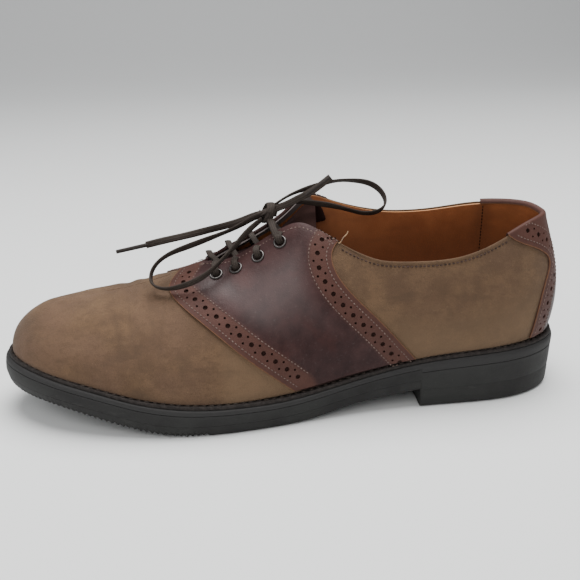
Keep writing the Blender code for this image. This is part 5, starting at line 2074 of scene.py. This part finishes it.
class SHOE_OT_sole(bpy.types.Operator):
    """Makes the rubber sole and heel, the welt with its stitches and the footbed"""

    bl_idname = "shoe.sole"
    bl_label = "Sole"

    def execute(self, context):
        make_outsole()
        make_welt()
        make_insole()
        return {"FINISHED"}


class SHOE_OT_upper(bpy.types.Operator):
    """Makes the nubuck upper, its lining and the collar's stitches"""

    bl_idname = "shoe.upper"
    bl_label = "Upper"

    def execute(self, context):
        make_upper()
        make_lining()
        make_collar_stitches()
        return {"FINISHED"}


class SHOE_OT_saddle(bpy.types.Operator):
    """Makes the saddle with its punched holes and stitches"""

    bl_idname = "shoe.saddle"
    bl_label = "Saddle"

    def execute(self, context):
        make_saddle()
        return {"FINISHED"}


class SHOE_OT_counter(bpy.types.Operator):
    """Makes the counter round the heel with its punched holes and stitches"""

    bl_idname = "shoe.counter"
    bl_label = "Counter"

    def execute(self, context):
        make_counter()
        return {"FINISHED"}


class SHOE_OT_tongue(bpy.types.Operator):
    """Makes the tongue under the lace"""

    bl_idname = "shoe.tongue"
    bl_label = "Tongue"

    def execute(self, context):
        make_tongue()
        return {"FINISHED"}


class SHOE_OT_eyelets(bpy.types.Operator):
    """Makes the eight eyelets"""

    bl_idname = "shoe.eyelets"
    bl_label = "Eyelets"

    def execute(self, context):
        make_eyelets()
        return {"FINISHED"}


class SHOE_OT_threads(bpy.types.Operator):
    """Makes the bar of stitches at the throat and the loose thread"""

    bl_idname = "shoe.threads"
    bl_label = "Loose threads"

    def execute(self, context):
        make_threads()
        return {"FINISHED"}


STEPS = (
    SHOE_OT_stage, SHOE_OT_lace, SHOE_OT_sole, SHOE_OT_upper, SHOE_OT_saddle, SHOE_OT_counter,
    SHOE_OT_tongue, SHOE_OT_eyelets, SHOE_OT_threads,
)


class SHOE_PT_panel(bpy.types.Panel):
    """Sizes, colours and steps of the shoe"""

    bl_idname = "SHOE_PT_panel"
    bl_label = "Saddle shoe"
    bl_space_type = "VIEW_3D"
    bl_region_type = "UI"
    bl_category = "Shoe"

    def draw(self, context):
        for group in (context.scene.shoe_sizes, context.scene.shoe_colours):
            box = self.layout.box()
            for key in group.bl_rna.properties.keys():
                if key not in ("rna_type", "name"):
                    box.prop(group, key)
        for step in STEPS:
            self.layout.operator(step.bl_idname)


CLASSES = (ShoeSizes, ShoeColours, *STEPS, SHOE_PT_panel)


def register():
    for known in CLASSES:
        bpy.utils.register_class(known)
    bpy.types.Scene.shoe_sizes = bpy.props.PointerProperty(type=ShoeSizes)
    bpy.types.Scene.shoe_colours = bpy.props.PointerProperty(type=ShoeColours)


def unregister():
    del bpy.types.Scene.shoe_colours
    del bpy.types.Scene.shoe_sizes
    for known in reversed(CLASSES):
        bpy.utils.unregister_class(known)


def main():
    register()
    bpy.ops.shoe.stage()
    bpy.ops.shoe.lace()
    bpy.ops.shoe.sole()
    bpy.ops.shoe.upper()
    bpy.ops.shoe.saddle()
    bpy.ops.shoe.counter()
    bpy.ops.shoe.tongue()
    bpy.ops.shoe.eyelets()
    bpy.ops.shoe.threads()


if __name__ == "__main__":
    main()
